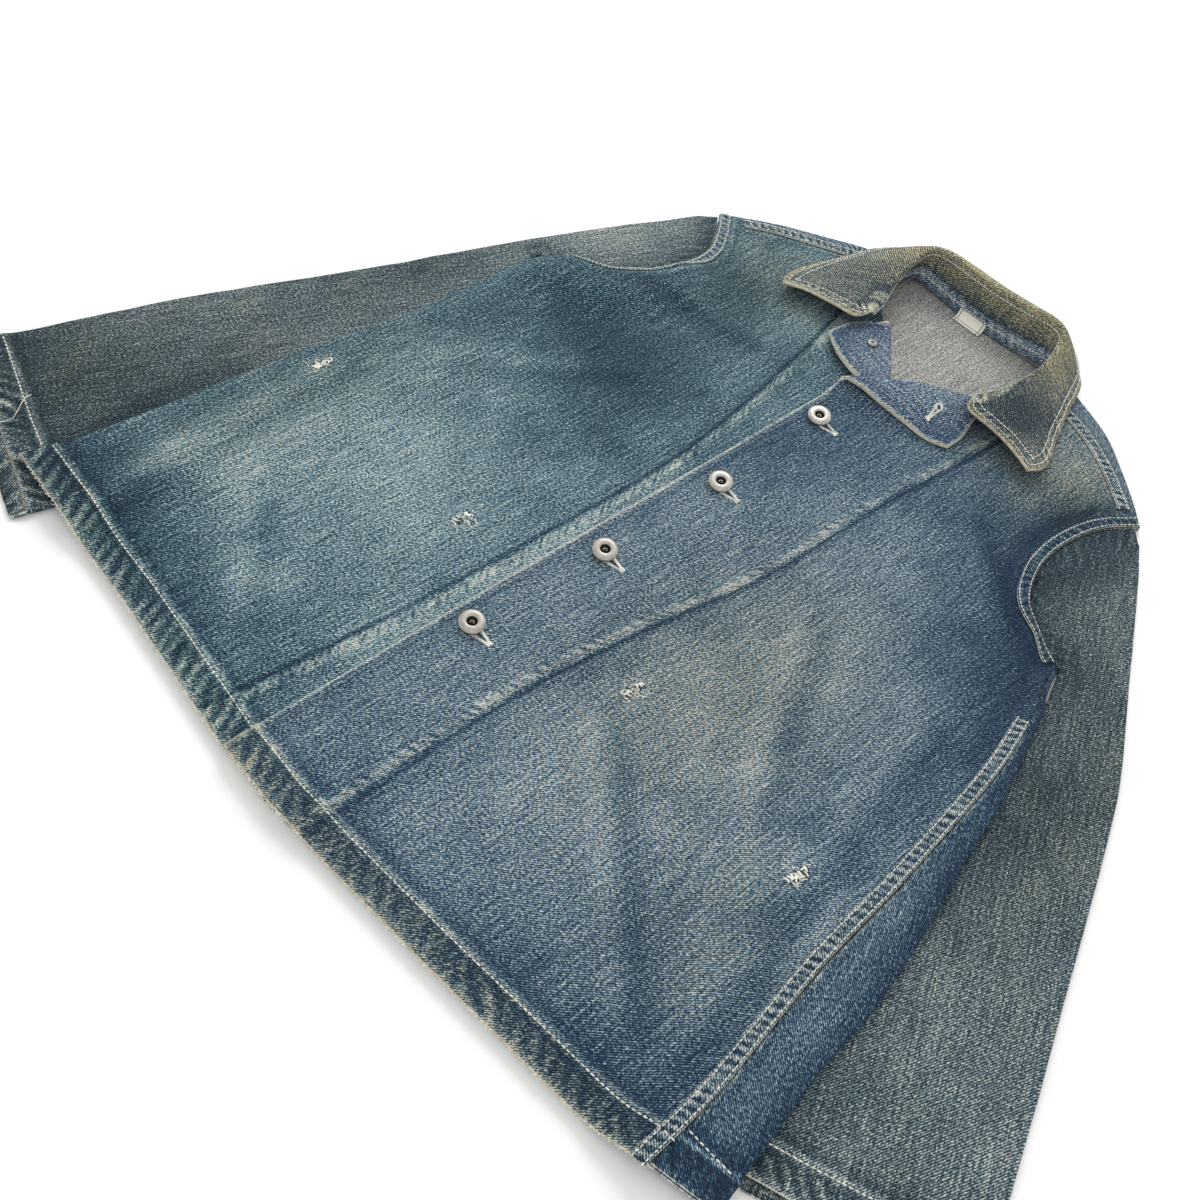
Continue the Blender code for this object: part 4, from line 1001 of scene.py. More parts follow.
# %% [markdown]
# ## The facings
# Each front is lined along its edge with a strip of the same denim, its good side in. Only
# the turned-out lapels show it, clean and blue, because it hasn't been rubbed or soiled as
# the outside has. It is made from the front's own points, moved in by one gap, so it can't
# touch the front anywhere.

# %% Making the facings
def facing_mesh(patch, lapel, height):
    mesh = front_mesh([row[:STRIP_COLUMNS + 1] for row in patch], lapel)
    low, high = Vector((*lapel["low"], 0)), Vector((*lapel["high"], 0))
    way = (high - low).normalized()
    row = mesh.faces.layers.int["row"]
    outside = [face for face in mesh.faces if face[row] < FACING_FIRST_ROW
               or (face.calc_center_median() - high).dot(way) > FACING_END]
    for vert in mesh.verts:
        vert.co = turn_out(vert.co.x, vert.co.y, lapel, height)
    mesh.normal_update()
    depth = WALL / 2 + SEAM_GAP + FACING_WALL / 2
    for vert in mesh.verts:
        vert.co -= vert.normal * depth * lapel["side"]
    bmesh.ops.delete(mesh, geom=outside, context="FACES")
    return mesh


def facing_look(edge, neck, seed):
    def look(cut, spots):
        lift, rub, keep_and_shade = edge_look(cut, edge_outline(edge, neck), seed)
        corner = Vector(neck[0])
        gap = np.hypot(cut[:, 0] - corner.x, cut[:, 1] - corner.y)
        keep_and_shade += 0.35 * bell(gap, 0, 22)
        return lift * 0.6, rub, keep_and_shade + 0.06, np.full(len(cut), 0.05), np.clip(0.4 * rub, 0, 1)
    return look


left_facing = make_cloth("left_facing_cloth", facing_mesh(left_patch, LEFT_LAPEL, left_height),
                         facing_look(LEFT_EDGE, LEFT_NECK, 31.0), FACING_WALL,
                         [facing_denim, facing_denim, worn_edge], face_up=False,
                         side_of=below_lapels)
right_facing = make_cloth("right_facing_cloth", facing_mesh(right_patch, RIGHT_LAPEL, right_height),
                          facing_look(RIGHT_EDGE, RIGHT_NECK, 37.0), FACING_WALL,
                          [facing_denim, facing_denim, worn_edge], face_up=False,
                          side_of=below_lapels)
lies_on(left_facing)
lies_on(right_facing)

# %% [markdown]
# ## The sleeves
# A sleeve is a tube of cloth. Laid flat it has two layers joined by a rolled edge on each
# side, and it is open along the armhole. Its upper end is tucked under the body's raised
# side. So each ring of points runs from the armpit over the top layer, round the outer edge
# and back along the layer that rests on the table.

# %% Making the sleeves
SLEEVE_ARM_ROWS, SLEEVE_ROWS, SLEEVE_COLUMNS, CUFF_ROWS = 56, 130, 52, 10


def inner_edge(near, way, turn, closed, middle, up):
    """A point of the rolled inner edge; along the armhole it is open and only rises."""
    reach, rise = ((EDGE_RADIUS * sin(turn), EDGE_RADIUS * cos(turn)) if closed
                   else (0, EDGE_RADIUS))
    spot = near - way * reach
    return Vector((spot.x, spot.y, middle + up * rise))


def sleeve_rings(armhole, inner, outer, gap, cuff_sag):
    """The sleeve as rings round its tube, where they are laid and where they are cut."""
    arm_rows, length_rows, flat = SLEEVE_ARM_ROWS, SLEEVE_ROWS, SLEEVE_COLUMNS
    armhole = beside(samples(armhole, arm_rows), gap)[-2::-1]
    inner_line = armhole + samples(inner, length_rows)[1:]
    outer_line = [spline(outer, 0.02 + 0.29 * k / arm_rows) for k in range(1, arm_rows + 1)]
    outer_line += [spline(outer, 0.31 + 0.69 * k / length_rows) for k in range(1, length_rows + 1)]
    radius, rows, cut = EDGE_RADIUS, [], []
    grain = (outer_line[-1] - outer_line[0]).normalized()
    cross = Vector((-grain.y, grain.x))
    for j, (start, end) in enumerate(zip(inner_line, outer_line)):
        way = (end - start).normalized()
        closed = j > arm_rows - 1
        near = start + way * (radius if closed else 0.0)
        far = end - way * radius
        cuff_row = j - len(inner_line) + CUFF_ROWS + 1
        base = WALL / 2
        if cuff_row >= 1:
            base = WALL / 2 + (HEM_WALL - WALL) / 2 * min(cuff_row / 2, 1)
        row = [inner_edge(near, way, pi / 2 * (1 - k / 4), closed, base + radius, 1)
               for k in range(4)]
        for k in range(flat + 1):
            spot = near + (far - near) * k / flat
            row.append(Vector((spot.x, spot.y, base + 2 * radius)))
        for k in range(1, 9):
            turn = pi * k / 8
            spot = far + way * radius * sin(turn)
            row.append(Vector((spot.x, spot.y, base + radius + radius * cos(turn))))
        for k in range(1, flat + 1):
            spot = far + (near - far) * k / flat
            row.append(Vector((spot.x, spot.y, base)))
        row += [inner_edge(near, way, pi / 2 * k / 4, closed, base + radius, -1)
                for k in range(1, 5)]
        if cuff_row >= 1:
            sag = cuff_sag * (cuff_row / CUFF_ROWS)**2
            row = [sag_cuff(point, near, far, base, sag) for point in row]
        rows.append(row)
        # Unrolled about the outer edge, so that the grain runs straight down the sleeve
        outer_place, unrolled = end.dot(cross), []
        for k, point in enumerate(row):
            place = Vector((point.x, point.y)).dot(cross)
            place = place if k <= flat + 8 else 2 * outer_place - place
            unrolled.append(Vector((place, -Vector((point.x, point.y)).dot(grain))))
        cut.append(unrolled)
    return rows, cut, (inner_line[-1], outer_line[-1])


def sag_cuff(point, near, far, base, sag):
    """The cuff's lower layer shows a little past the upper one."""
    lower = 1 - smooth(base, base + LAYER, point.z)
    along = (far - near).normalized()
    down = Vector((along.y, -along.x)) if along.x > 0 else Vector((-along.y, along.x))
    share = (Vector((point.x, point.y)) - far).length / (far - near).length
    push = down * sag * lower * smooth(0.1, 0.6, share)
    return point + Vector((push.x, push.y, 0))


def sleeve_look(cuff, armhole, fade_and_shade_spots, tans, seed):
    def look(cut, spots):
        plan = spots[:, :2]
        lift, rub, keep_and_shade = hem_look(plan, cuff, HEM_BAND, seed)
        depth, along = near_line(plan, samples(armhole, 40))
        pucker = ripple(along, depth, 11.0, seed + 1) * bell(depth, 4, 12)
        creases = np.array([noise.noise(Vector((x / 34 + y / 80, y / 60, seed)))
                            + 0.5 * noise.noise(Vector((x / 15, y / 19, seed + 5)))
                            for x, y in plan])
        upper = np.clip((spots[:, 2] - 2.6) / 1.5, 0, 1)
        lift = (lift + 0.3 * pucker + 0.75 * np.maximum(creases, -0.6)) * upper
        # The two bells along the armhole are painted shade where the sleeve runs under the body's
        # edge.
        keep_and_shade += 0.3 * np.maximum(-pucker, 0) + 0.35 * bell(depth, 0, 26) + 0.35 * bell(depth, 0, 10)
        rub += 0.25 * np.maximum(pucker, 0) + 0.10 * np.maximum(creases, 0)
        fade_and_shading = patches(plan, fade_and_shade_spots) + 0.10 * creases
        tan = 0.12 + patches(plan, tans) + 0.3 * creases
        return lift, rub, keep_and_shade, fade_and_shading, np.clip(tan, 0, 1)
    return look


def sleeve(name, armhole, inner, outer, gap, cuff_sag, fade_and_shade_spots, tans, seed):
    rows, cut, cuff = sleeve_rings(armhole, inner, outer, gap, cuff_sag)
    cuff_line = [cuff[0] + (cuff[1] - cuff[0]) * k / 8 for k in range(9)]
    mesh = plan_mesh(rows, cut)
    settle(mesh)
    made = make_cloth(name, mesh, sleeve_look(cuff_line, armhole, fade_and_shade_spots, tans, seed), WALL,
                      [sleeve_denim, weft_side, worn_edge], edge_wall=HEM_WALL,
                      edge_depth=lambda cut, spots: near_line(spots[:, :2], cuff_line)[0],
                      side_of=lambda middles: middles[:, 2] > 3.6)
    made["cuff"] = cuff_line
    return made


# At the armpit the inner edges lie a little closer to the body than in the outlines
near_inner = [(245.5, 445), (250.5, 430), (254.5, 417), (243, 400)] + NEAR_SLEEVE_INNER[3:]
far_inner = [(-242.5, 445), (-241.5, 430), (-240, 417), (-231, 400)] + FAR_SLEEVE_INNER[3:]
# Pale and dark areas: partly wash fading, partly painted shade beside the armhole and the body's
# fold.
NEAR_SLEEVE_FADES_AND_SHADING = [(300, 330, 40, 90, -0.50), (360, 210, 26, 80, 0.04), (358, 92, 14, 30, 0.4),
                     (336, 60, 10, 18, -0.6), (402, 140, 16, 40, 0.45), (380, 150, 36, 50, -0.1),
                     (250, 500, 40, 50, -0.12), (208, 540, 22, 44, -0.7)]
NEAR_SLEEVE_TANS = [(300, 380, 60, 90, 0.2), (376, 170, 50, 60, -0.35)]
# Pale and dark areas: partly wash fading; the narrow band along the body's fold is painted shade.
FAR_SLEEVE_FADES_AND_SHADING = [(-240, 500, 50, 100, 0.60), (-320, 120, 60, 60, -0.82),
                    (-258, 110, 12, 80, -0.70), (-296, 200, 30, 40, -0.05),
                    (-272, 352, 30, 55, -0.5), (-330, 140, 36, 50, 0.55)]
FAR_SLEEVE_TANS = [(-280, 250, 60, 90, 0.12), (-310, 110, 60, 60, 0.3)]
left_sleeve = sleeve("left_sleeve_cloth", NEAR_ARMHOLE, near_inner, NEAR_SLEEVE_OUTER,
                     -2 * SEAM_GAP, 6, NEAR_SLEEVE_FADES_AND_SHADING, NEAR_SLEEVE_TANS, 41.0)
right_sleeve = sleeve("right_sleeve_cloth", FAR_ARMHOLE, far_inner, FAR_SLEEVE_OUTER,
                      2 * SEAM_GAP, 11, FAR_SLEEVE_FADES_AND_SHADING, FAR_SLEEVE_TANS, 47.0)
lies_on(left_sleeve)
lies_on(right_sleeve)

# %% [markdown]
# ## The collar
# The collar is two layers sewn together along the edge and turned. It stands up from the
# neck seam, rolls over and comes down as a leaf with two pointed corners, held up by nothing
# but its own stiffness. Fifteen sections, each with its neck seam, roll and outer edge,
# describe it from one end to the other. It gets the most skin and sun, so its roll is tan.

# %% The collar's sections
COLLAR_STATIONS = [
    ((-46, 600, 16.5), (-46, 599, 20.5), (-110, 568, 16.0)),
    ((-50, 611, 13.5), (-47, 612, 22.5), (-116, 583, 12.5)),
    ((-60, 633, 10.0), (-54, 633, 27.0), (-116, 609, 9.4)),
    ((-66, 657, 8.6), (-59, 658, 31.5), (-109, 640, 9.0)),
    ((-63, 678, 7.0), (-59, 682, 35.0), (-98, 680, 8.6)),
    ((-46, 681, 4.0), (-48, 689, 36.6), (-66, 716, 6.4)),
    ((-24, 680.2, 2.2), (-25, 689, 37.0), (-32, 730, 3.2)),
    ((0, 679.2, 2.0), (0, 689, 37.0), (-2, 732, 2.4)),
    ((24, 680.2, 2.2), (26, 692, 37.0), (30, 733, 3.2)),
    ((46, 682, 4.0), (47, 697, 36.6), (62, 720, 6.4)),
    ((64, 680, 7.0), (61, 692, 35.0), (91, 686, 8.6)),
    ((70, 660, 8.6), (70, 664, 30.5), (105, 650, 9.0)),
    ((68, 634, 10.0), (71, 638, 26.0), (117, 618, 9.4)),
    ((62, 606, 18.4), (69, 610, 25.0), (130, 586, 11.5)),
    ((59, 590, 19.4), (60, 589, 22.8), (126, 567, 14.5)),
]
STAND_SHARE = 0.36
LEAF_BOW, LEAF_BOW_REACH = 15.0, 0.14


def collar_point(station, v):
    neck, roll, edge = station
    stand_top = roll + (neck - roll) * 0.12
    if v < STAND_SHARE:
        return neck + (stand_top - neck) * v / STAND_SHARE
    t = (v - STAND_SHARE) / (1 - STAND_SHARE)
    pull_up = roll + (roll - stand_top) * 0.7
    pull_out = roll + (edge - roll) * 0.22 + Vector((0, 0, 0.10 * (roll.z - edge.z)))
    return (stand_top * (1 - t)**3 + pull_up * 3 * t * (1 - t)**2
            + pull_out * 3 * t * t * (1 - t) + edge * t**3)


def collar_surface(u, v):
    """u runs from the wearer's right end to the left end, v from seam to outer edge."""
    share = u * (len(COLLAR_STATIONS) - 1)
    index = min(int(share), len(COLLAR_STATIONS) - 2)
    station = []
    for part in range(3):
        line = [Vector(section[part]) for section in COLLAR_STATIONS]
        a, b = line[index], line[index + 1]
        before = line[index - 1] if index > 0 else a * 2 - b
        after = line[index + 2] if index + 2 < len(line) else b * 2 - a
        station.append(hermite(a, b, (b - before) / 2, (after - a) / 2, share - index))
    spot = collar_point(station, v)
    t = max(v - STAND_SHARE, 0) / (1 - STAND_SHARE)
    spot.y -= LEAF_BOW * (1 - smooth(0, LEAF_BOW_REACH, min(u, 1 - u))) * t * (1 - t)**2 * 27 / 4
    return spot


collar_columns, collar_rows = 250, 60
rows = [[collar_surface(i / collar_columns, j / collar_rows) for i in range(collar_columns + 1)]
        for j in range(collar_rows + 1)]
steps = [[0.0] * (collar_columns + 1)]
for low_row, high_row in zip(rows, rows[1:]):
    steps.append([s + (b - a).length for s, a, b in zip(steps[-1], low_row, high_row)])
widths = [0.0]
roll_row = rows[int(collar_rows * 0.5)]
for a, b in zip(roll_row, roll_row[1:]):
    widths.append(widths[-1] + (b - a).length)
cut = [[Vector((widths[i], step)) for i, step in enumerate(row)] for row in steps]
outer_edge = [rows[j][0] for j in range(20, collar_rows)] + rows[-1] + [
    rows[j][-1] for j in range(collar_rows - 1, 19, -1)]
neck_seam = rows[0]


STAND_DEPTH, STAND_FROM_Y = 12.5, 636     # the stand's width, and where the neck shows it


def collar_look(cut, spots):
    depth, along = near_line(spots, outer_edge)
    neck_depth, neck_along = near_line(spots, neck_seam)
    pucker = ripple(along, depth, 7.5, 51.0) * bell(depth, 5.5, 5.0)
    stand = ripple(neck_along, neck_depth, 9.0, 53.0) * bell(neck_depth, 7, 6)
    crumple = np.array([noise.noise(Vector(p) / 17) + 0.6 * noise.noise(Vector(p) / 8)
                        for p in spots])
    lift = (0.55 * pucker + 0.4 * stand - 0.35 * bell(depth, 4.0, 0.9)
            - 0.3 * bell(depth, 10.5, 0.9) + 0.6 * crumple * bell(depth, 0, 30)
            + 0.3 * bell(depth, 0, 2.4))
    rub = (0.6 * bell(depth, 0, 1.6) + 0.6 * np.maximum(pucker, 0) + 0.3 * np.maximum(stand, 0)
           + 0.3 * bell(spots[:, 2], 38, 4) + 0.16 * np.maximum(crumple, 0))
    keep_and_shade = (0.6 * np.maximum(-pucker, 0) + 0.45 * np.maximum(-stand, 0) + 0.3 * bell(depth, 10, 4)
            + 0.25 * bell(neck_depth, 4, 14) + 0.2 * np.maximum(-crumple, 0))
    # Towards the top of the roll the collar is paler and tan: sun fading, and painted light on the
    # roll's inner face.
    ridge = smooth_all(13, 28, spots[:, 2]) * np.clip((spots[:, 1] - 600) / 60, 0, 1)
    stand_part = 1 - smooth_all(11, 14, neck_depth)
    # A painted shadow on the middle of the near leaf.
    painted_leaf_shadow = 1.2 * bell(spots[:, 0], 91, 17) * bell(spots[:, 1], 603, 26)
    leaf = 0.75 * ridge + 0.06 - painted_leaf_shadow - 0.30 * smooth_all(10, 24, depth)
    fade_and_shading = leaf * (1 - stand_part) + 0.65 * stand_part
    tan = (0.15 + 0.5 * ridge + 0.4 * bell(depth, 0, 3)) * (1 - stand_part)
    keep_and_shade += 0.5 * bell(neck_depth, STAND_DEPTH, 1.4) + 0.4 * bell(neck_depth, 2.0, 2.0)
    return lift, rub, keep_and_shade, fade_and_shading, np.clip(tan, 0, 1)


mesh = plan_mesh(rows, cut)
settle(mesh)
collar = make_cloth("collar_cloth", mesh, collar_look, COLLAR_WALL,
                    [collar_denim, collar_denim, worn_edge],
                    side_of=lambda middles: middles[:, 2] < 14)
stand_cloth = collar["piece"].data
stand_cloth.materials.append(facing_denim)
middles = np.array([face.center for face in stand_cloth.polygons]) / MM + np.array(CENTRE)
stand_depth, _ = near_line(middles, neck_seam)
for face, depth in zip(stand_cloth.polygons, stand_depth):
    in_neck = face.center.y / MM + CENTRE.y > STAND_FROM_Y
    if depth < STAND_DEPTH and face.material_index < 2 and in_neck:
        face.material_index = len(stand_cloth.materials) - 1
lies_on(collar)

# %% [markdown]
# ## Felled seams
# At the sides, armholes and shoulders the seam allowance is folded and stitched down twice.
# In the wash such a band puckers into a ladder of pale ridges and dark hollows. A bump map
# would stay flat at its edges, so the ladder is real relief here, on a narrow sheet that
# lies on the panel beside the seam.

# %% Laying the felled bands
FELL_START = 0.8          # from the seam line to the near edge of the band


def fell(name, line, side, height, count, seed, amount=1.0, edge=worn_edge, shade=0.05):
    off = WALL / 2 + SEAM_GAP + 0.2 + FELL_WALL / 2
    spots = samples(line, count)
    rows, cut, walked = [], [], 0.0
    for k, spot in enumerate(spots):
        before, after = spots[max(k - 1, 0)], spots[min(k + 1, count)]
        along = (after - before).normalized()
        inward = Vector((-along.y, along.x)) * side
        walked += (spot - spots[k - 1]).length if k else 0.0
        row, flat = [], []
        for step in range(9):
            reach = FELL_START + (FELL_WIDTH - FELL_START) * step / 8
            p = spot + inward * reach
            row.append(Vector((p.x, p.y, height(p.x, p.y) + off)))
            flat.append(Vector((reach, walked)))
        rows.append(row)
        cut.append(flat)

    def look(cut, spots):
        across_band, along_band = cut[:, 0], cut[:, 1]
        body = np.sin(pi * np.clip((across_band - FELL_START) / (FELL_WIDTH - FELL_START), 0, 1))
        pucker = ripple(along_band, across_band * 0.6, 6.2, seed)
        lift = 0.55 * pucker * body + 0.25 * body - 0.25 * (bell(across_band, 2.4, 0.6)
                                                            + bell(across_band, 8.4, 0.6))
        rub = amount * (0.60 * np.maximum(pucker, 0) * body
                        + 0.30 * bell(across_band, FELL_START, 0.7)
                        + 0.30 * bell(across_band, FELL_WIDTH, 0.7))
        keep_and_shade = 2.0 * np.maximum(-pucker, 0) * body
        return lift, rub, keep_and_shade, np.full(len(cut), shade), np.clip(0.3 + 0.4 * rub, 0, 1)

    mesh = plan_mesh(rows, cut)
    settle(mesh)
    made = make_cloth(name, mesh, look, FELL_WALL, [body_denim, body_denim, edge],
                      side_of=lambda middles: middles[:, 2] > 0)
    lies_on(made)
    return made


side_line = shift(SIDE_SEAM[:-3] + [(259.5, 386)], 0.6)
near_arm_line = [(238, 448.5)] + NEAR_ARMHOLE[1:]
side_fell = fell("side_fell_cloth", side_line, 1, left_height, 220, 61.0)
# A shade of -0.75 paints this band dark: painted shade along the near armhole.
left_arm_fell = fell("left_armhole_fell_cloth", near_arm_line, 1, left_height, 90, 63.0, 0.9,
                     shade=-0.75)
right_arm_fell = fell("right_armhole_fell_cloth", FAR_ARMHOLE[1:], -1, right_height, 90, 65.0, 0.9,
                      teal_denim)
left_shoulder_fell = fell("left_shoulder_fell_cloth", NEAR_SHOULDER[1:-1] + [(190, 611)], -1,
                          left_height, 60, 67.0)
right_shoulder_fell = fell("right_shoulder_fell_cloth", FAR_SHOULDER[1:-1] + [(-187, 613)], 1,
                           right_height, 60, 69.0)

# %% [markdown]
# ## The label
# A small bare label is sewn inside the collar, over the seam of the neck. A jacket needs one
# for its size, but it carries no words here, only a woven cream ground with a faint frame. A
# real one is turned under at its ends. This one is a single layer, because its ends are hidden.

# %% The woven label
LABEL_LEFT, LABEL_WIDTH, LABEL_HEIGHT, LABEL_FRAME = -17.0, 25.0, 14.0, 2.2
LABEL_SECTION = [(670.6, 2.2), (674.6, 2.9), (677.0, 5.6), (678.0, 9.6)]


def woven_label():
    """Cream cotton label cloth with a thin grey woven frame."""
    material, tree, shader = shader_of("woven_cotton_label")
    cut = node(tree, "ShaderNodeUVMap", {"uv_map": "cut"})
    parts = node(tree, "ShaderNodeSeparateXYZ", None, {"Vector": cut.outputs["UV"]})
    weave = node(tree, "ShaderNodeTexNoise", None,
                 {"Vector": cut.outputs["UV"], "Scale": 1 / (0.8 * MM), "Detail": 2.0})
    lines = []
    for socket, size in ((parts.outputs["X"], LABEL_WIDTH), (parts.outputs["Y"], LABEL_HEIGHT)):
        for place in (LABEL_FRAME, size - LABEL_FRAME):
            lines.append(node(tree, "ShaderNodeMath", {"operation": "COMPARE"},
                              {0: socket, 1: place * MM, 2: 0.5 * MM}))
    frame_line = lines[0]
    for line in lines[1:]:
        frame_line = node(tree, "ShaderNodeMath", {"operation": "MAXIMUM"},
                          {0: frame_line.outputs[0], 1: line.outputs[0]})
    ground = node(tree, "ShaderNodeMix", {"data_type": "RGBA"},
                  {"Factor": weave.outputs["Fac"], 6: linear("#dad7c7"), 7: linear("#f8f6ec")})
    drawn = node(tree, "ShaderNodeMath", {"operation": "MULTIPLY"},
                 {0: frame_line.outputs[0], 1: 0.8})
    colour = node(tree, "ShaderNodeMix", {"data_type": "RGBA"},
                  {"Factor": drawn.outputs[0], 6: ground.outputs[2], 7: linear("#77786d")})
    tree.links.new(colour.outputs[2], shader.inputs["Base Color"])
    shader.inputs["Roughness"].default_value = 0.7
    return material


def label_look(cut, spots):
    bare = np.zeros(len(cut))
    return 0.12 * np.sin(cut[:, 0] / 2.7), bare, bare, bare, bare


rows, cut, reach = [], [], 0.0
levels = [spline(LABEL_SECTION, k / 12) for k in range(13)]
for level, (y, z) in enumerate(levels):
    reach += (levels[level] - levels[level - 1]).length if level else 0.0
    rows.append([Vector((LABEL_LEFT + LABEL_WIDTH * k / 24, y, z)) for k in range(25)])
    cut.append([Vector((LABEL_WIDTH * k / 24, reach)) for k in range(25)])
mesh = plan_mesh(rows, cut)
settle(mesh)
label = make_cloth("label_cloth", mesh, label_look, FACING_WALL, [woven_label()],
                   side_of=lambda middles: middles[:, 2] < 6)
lies_on(label)

# %% [markdown]
# ## Buttons and tack
# The buttons are tack buttons: a thin metal ring is rolled over at its rim and fixed by a
# nail from the back, whose split end curls over in the dished middle. They are turned parts,
# so each is a profile spun round its axis. The nail head of the turned-out button shows on
# the lapel.

# %% Turning the buttons
BUTTON_PLACES = [(1.6, 163.6), (5.9, 270.0), (6.5, 377.0), (2.1, 484.0)]
TURNED_BUTTON = (-3.0, 597.4)
BUTTON_RADIUS, BUTTON_HEIGHT, TACK_RADIUS, TACK_HEIGHT = 8.3, 3.9, 4.6, 1.3
BUTTON_TILTS = [11.0, 13.0, 12.0, 10.0]


def button_metal():
    """Silvered brass, dulled by washing, darker where dirt stays in the dish."""
    material, tree, shader = shader_of("washed_silvered_brass")
    place = node(tree, "ShaderNodeTexCoord")
    worn = node(tree, "ShaderNodeTexNoise", None,
                {"Vector": place.outputs["Object"], "Scale": 1 / (2.6 * MM), "Detail": 4.0})
    colour = node(tree, "ShaderNodeMix", {"data_type": "RGBA"},
                  {"Factor": worn.outputs["Fac"], 6: linear("#96938c"), 7: linear("#cdc9c1")})
    rough = node(tree, "ShaderNodeMapRange", None,
                 {"Value": worn.outputs["Fac"], "To Min": 0.38, "To Max": 0.62})
    tree.links.new(colour.outputs[2], shader.inputs["Base Color"])
    tree.links.new(rough.outputs[0], shader.inputs["Roughness"])
    shader.inputs["Metallic"].default_value = 1.0
    return material


def tarnished(name, colour, rough):
    """Old brass that has gone dark, in the hollow of a button or on the head of its nail."""
    material, tree, shader = shader_of(name)
    shader.inputs["Base Color"].default_value = linear(colour)
    shader.inputs["Roughness"].default_value = rough
    shader.inputs["Metallic"].default_value = 0.8
    return material


METAL, DISH = button_metal(), tarnished("tarnished_brass", "#3b352c", 0.6)
NAIL_HEAD = tarnished("dull_steel_nail_head", "#6b6a68", 0.45)


SIDES, CURL_STEPS = 48, 10                # of a turned part, and of the nail's curled end


def curl_wire(mesh):
    """The nail's split end: a short wire that curls over in the dish of a button."""
    bent = [Vector((1.2 * cos(a), 1.2 * sin(a), BUTTON_HEIGHT * 0.45)) for a in
            [k * pi * 1.35 / CURL_STEPS for k in range(CURL_STEPS + 1)]]
    before = None
    for k, spot in enumerate(bent):
        way = (bent[min(k + 1, CURL_STEPS)] - bent[max(k - 1, 0)]).normalized()
        out = Vector((0, 0, 1)).cross(way)
        ring = [mesh.verts.new(spot + 0.42 * (cos(a) * out + sin(a) * Vector((0, 0, 1))))
                for a in [2 * pi * m / 8 for m in range(8)]]
        for m in range(8 if before else 0):
            mesh.faces.new((before[m], before[m - 1], ring[m - 1], ring[m]))
        if before is None or k == CURL_STEPS:
            mesh.faces.new(ring if k == CURL_STEPS else ring[::-1])
        before = ring


def turned(name, profile, place, face_up, curl=False, tilt=0.0, metal=METAL):
    """Spins a profile and leans it to the hem; with a curl, its middle is a dark dish."""
    lean = Matrix.Rotation(tilt * pi / 180, 3, Vector((0.82, 0.57, 0)))
    mesh = bmesh.new()
    rings = []
    for radius, height in profile:
        ring = [mesh.verts.new((radius * cos(2 * pi * k / SIDES), radius * sin(2 * pi * k / SIDES),
                                height)) for k in range(SIDES)]
        rings.append(ring)
    for ring, following in zip(rings, rings[1:] + rings[:1]):
        for k in range(SIDES):
            face = mesh.faces.new((ring[k], ring[k - 1], following[k - 1], following[k]))
            middle = face.calc_center_median()
            face.material_index = int(curl and (middle.x**2 + middle.y**2) ** 0.5 < 3.3
                                      and middle.z > 0)
    if curl:
        curl_wire(mesh)
    bmesh.ops.recalc_face_normals(mesh, faces=mesh.faces[:])
    flip = 1 if face_up else -1
    for vert in mesh.verts:
        spot = Vector((vert.co.x, vert.co.y * flip, vert.co.z * flip))
        vert.co = (lean @ spot + place - CENTRE) * MM
    data = bpy.data.meshes.new(name)
    mesh.to_mesh(data)
    mesh.free()
    data.materials.append(metal)
    data.materials.append(DISH)
    data.polygons.foreach_set("use_smooth", np.ones(len(data.polygons), bool))
    piece = bpy.data.objects.new(name, data)
    bpy.context.scene.collection.objects.link(piece)
    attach(piece, "root")
    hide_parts(name.removesuffix("_metal"))
    return piece


r, h = BUTTON_RADIUS, BUTTON_HEIGHT
BUTTON_PROFILE = [(0.4, h * 0.22), (1.4, h * 0.20), (2.5, h * 0.26), (3.0, h * 0.50),
                  (3.2, h * 0.78), (3.5, h * 0.94), (4.0, h), (5.4, h * 0.99), (6.8, h * 0.96),
                  (7.1, h * 0.93), (7.3, h * 0.80), (7.6, h * 0.82), (7.9, h * 0.90),
                  (r, h * 0.62), (r - 0.1, h * 0.34), (r - 0.6, h * 0.16),
                  (r - 1.6, 0.0), (2.4, 0.0), (2.1, -1.2), (0.4, -1.2)]
buttons = []
for number, (x, y) in enumerate(BUTTON_PLACES):
    raised = (r - 1.0) * sin(BUTTON_TILTS[number] * pi / 180)
    place = Vector((x, y, left_height(x, y) + WALL / 2 + SEAM_GAP + max(raised, 1.7)))
    buttons.append(turned(f"button_{number + 1}_metal", BUTTON_PROFILE, place, True, curl=True,
                          tilt=BUTTON_TILTS[number]))
under = turn_out(*TURNED_BUTTON, RIGHT_LAPEL, right_height)
turned("button_5_metal", BUTTON_PROFILE[:-3] + [(0.4, 0.0)],
       under - Vector((0, 0, WALL / 2 + 2 * SEAM_GAP)), False)
r, h = TACK_RADIUS, TACK_HEIGHT
TACK_PROFILE = [(0.05, h), (r * 0.5, h * 0.97), (r * 0.8, h * 0.86), (r * 0.95, h * 0.62),
                (r, h * 0.3), (r * 0.9, 0.0), (0.05, 0.0)]
turned("tack_back_metal", TACK_PROFILE,
       under + Vector((0, 0, WALL / 2 + FACING_WALL + 2 * SEAM_GAP)), True, metal=NAIL_HEAD)
print("buttons:", len(buttons), "on the placket and one under the lapel")

# %% [markdown]
# ## Sewing
# Every seam shows its thread: short cotton stitches that sink a little at each end. They
# repeat by the thousand, so one Geometry Nodes tree sets a small thread body at equal steps
# along any line, and one more turns a line into a thin strand. Drawing stitches in a
# material would be quicker, but at the hem and the buttonholes they stand up in the light.

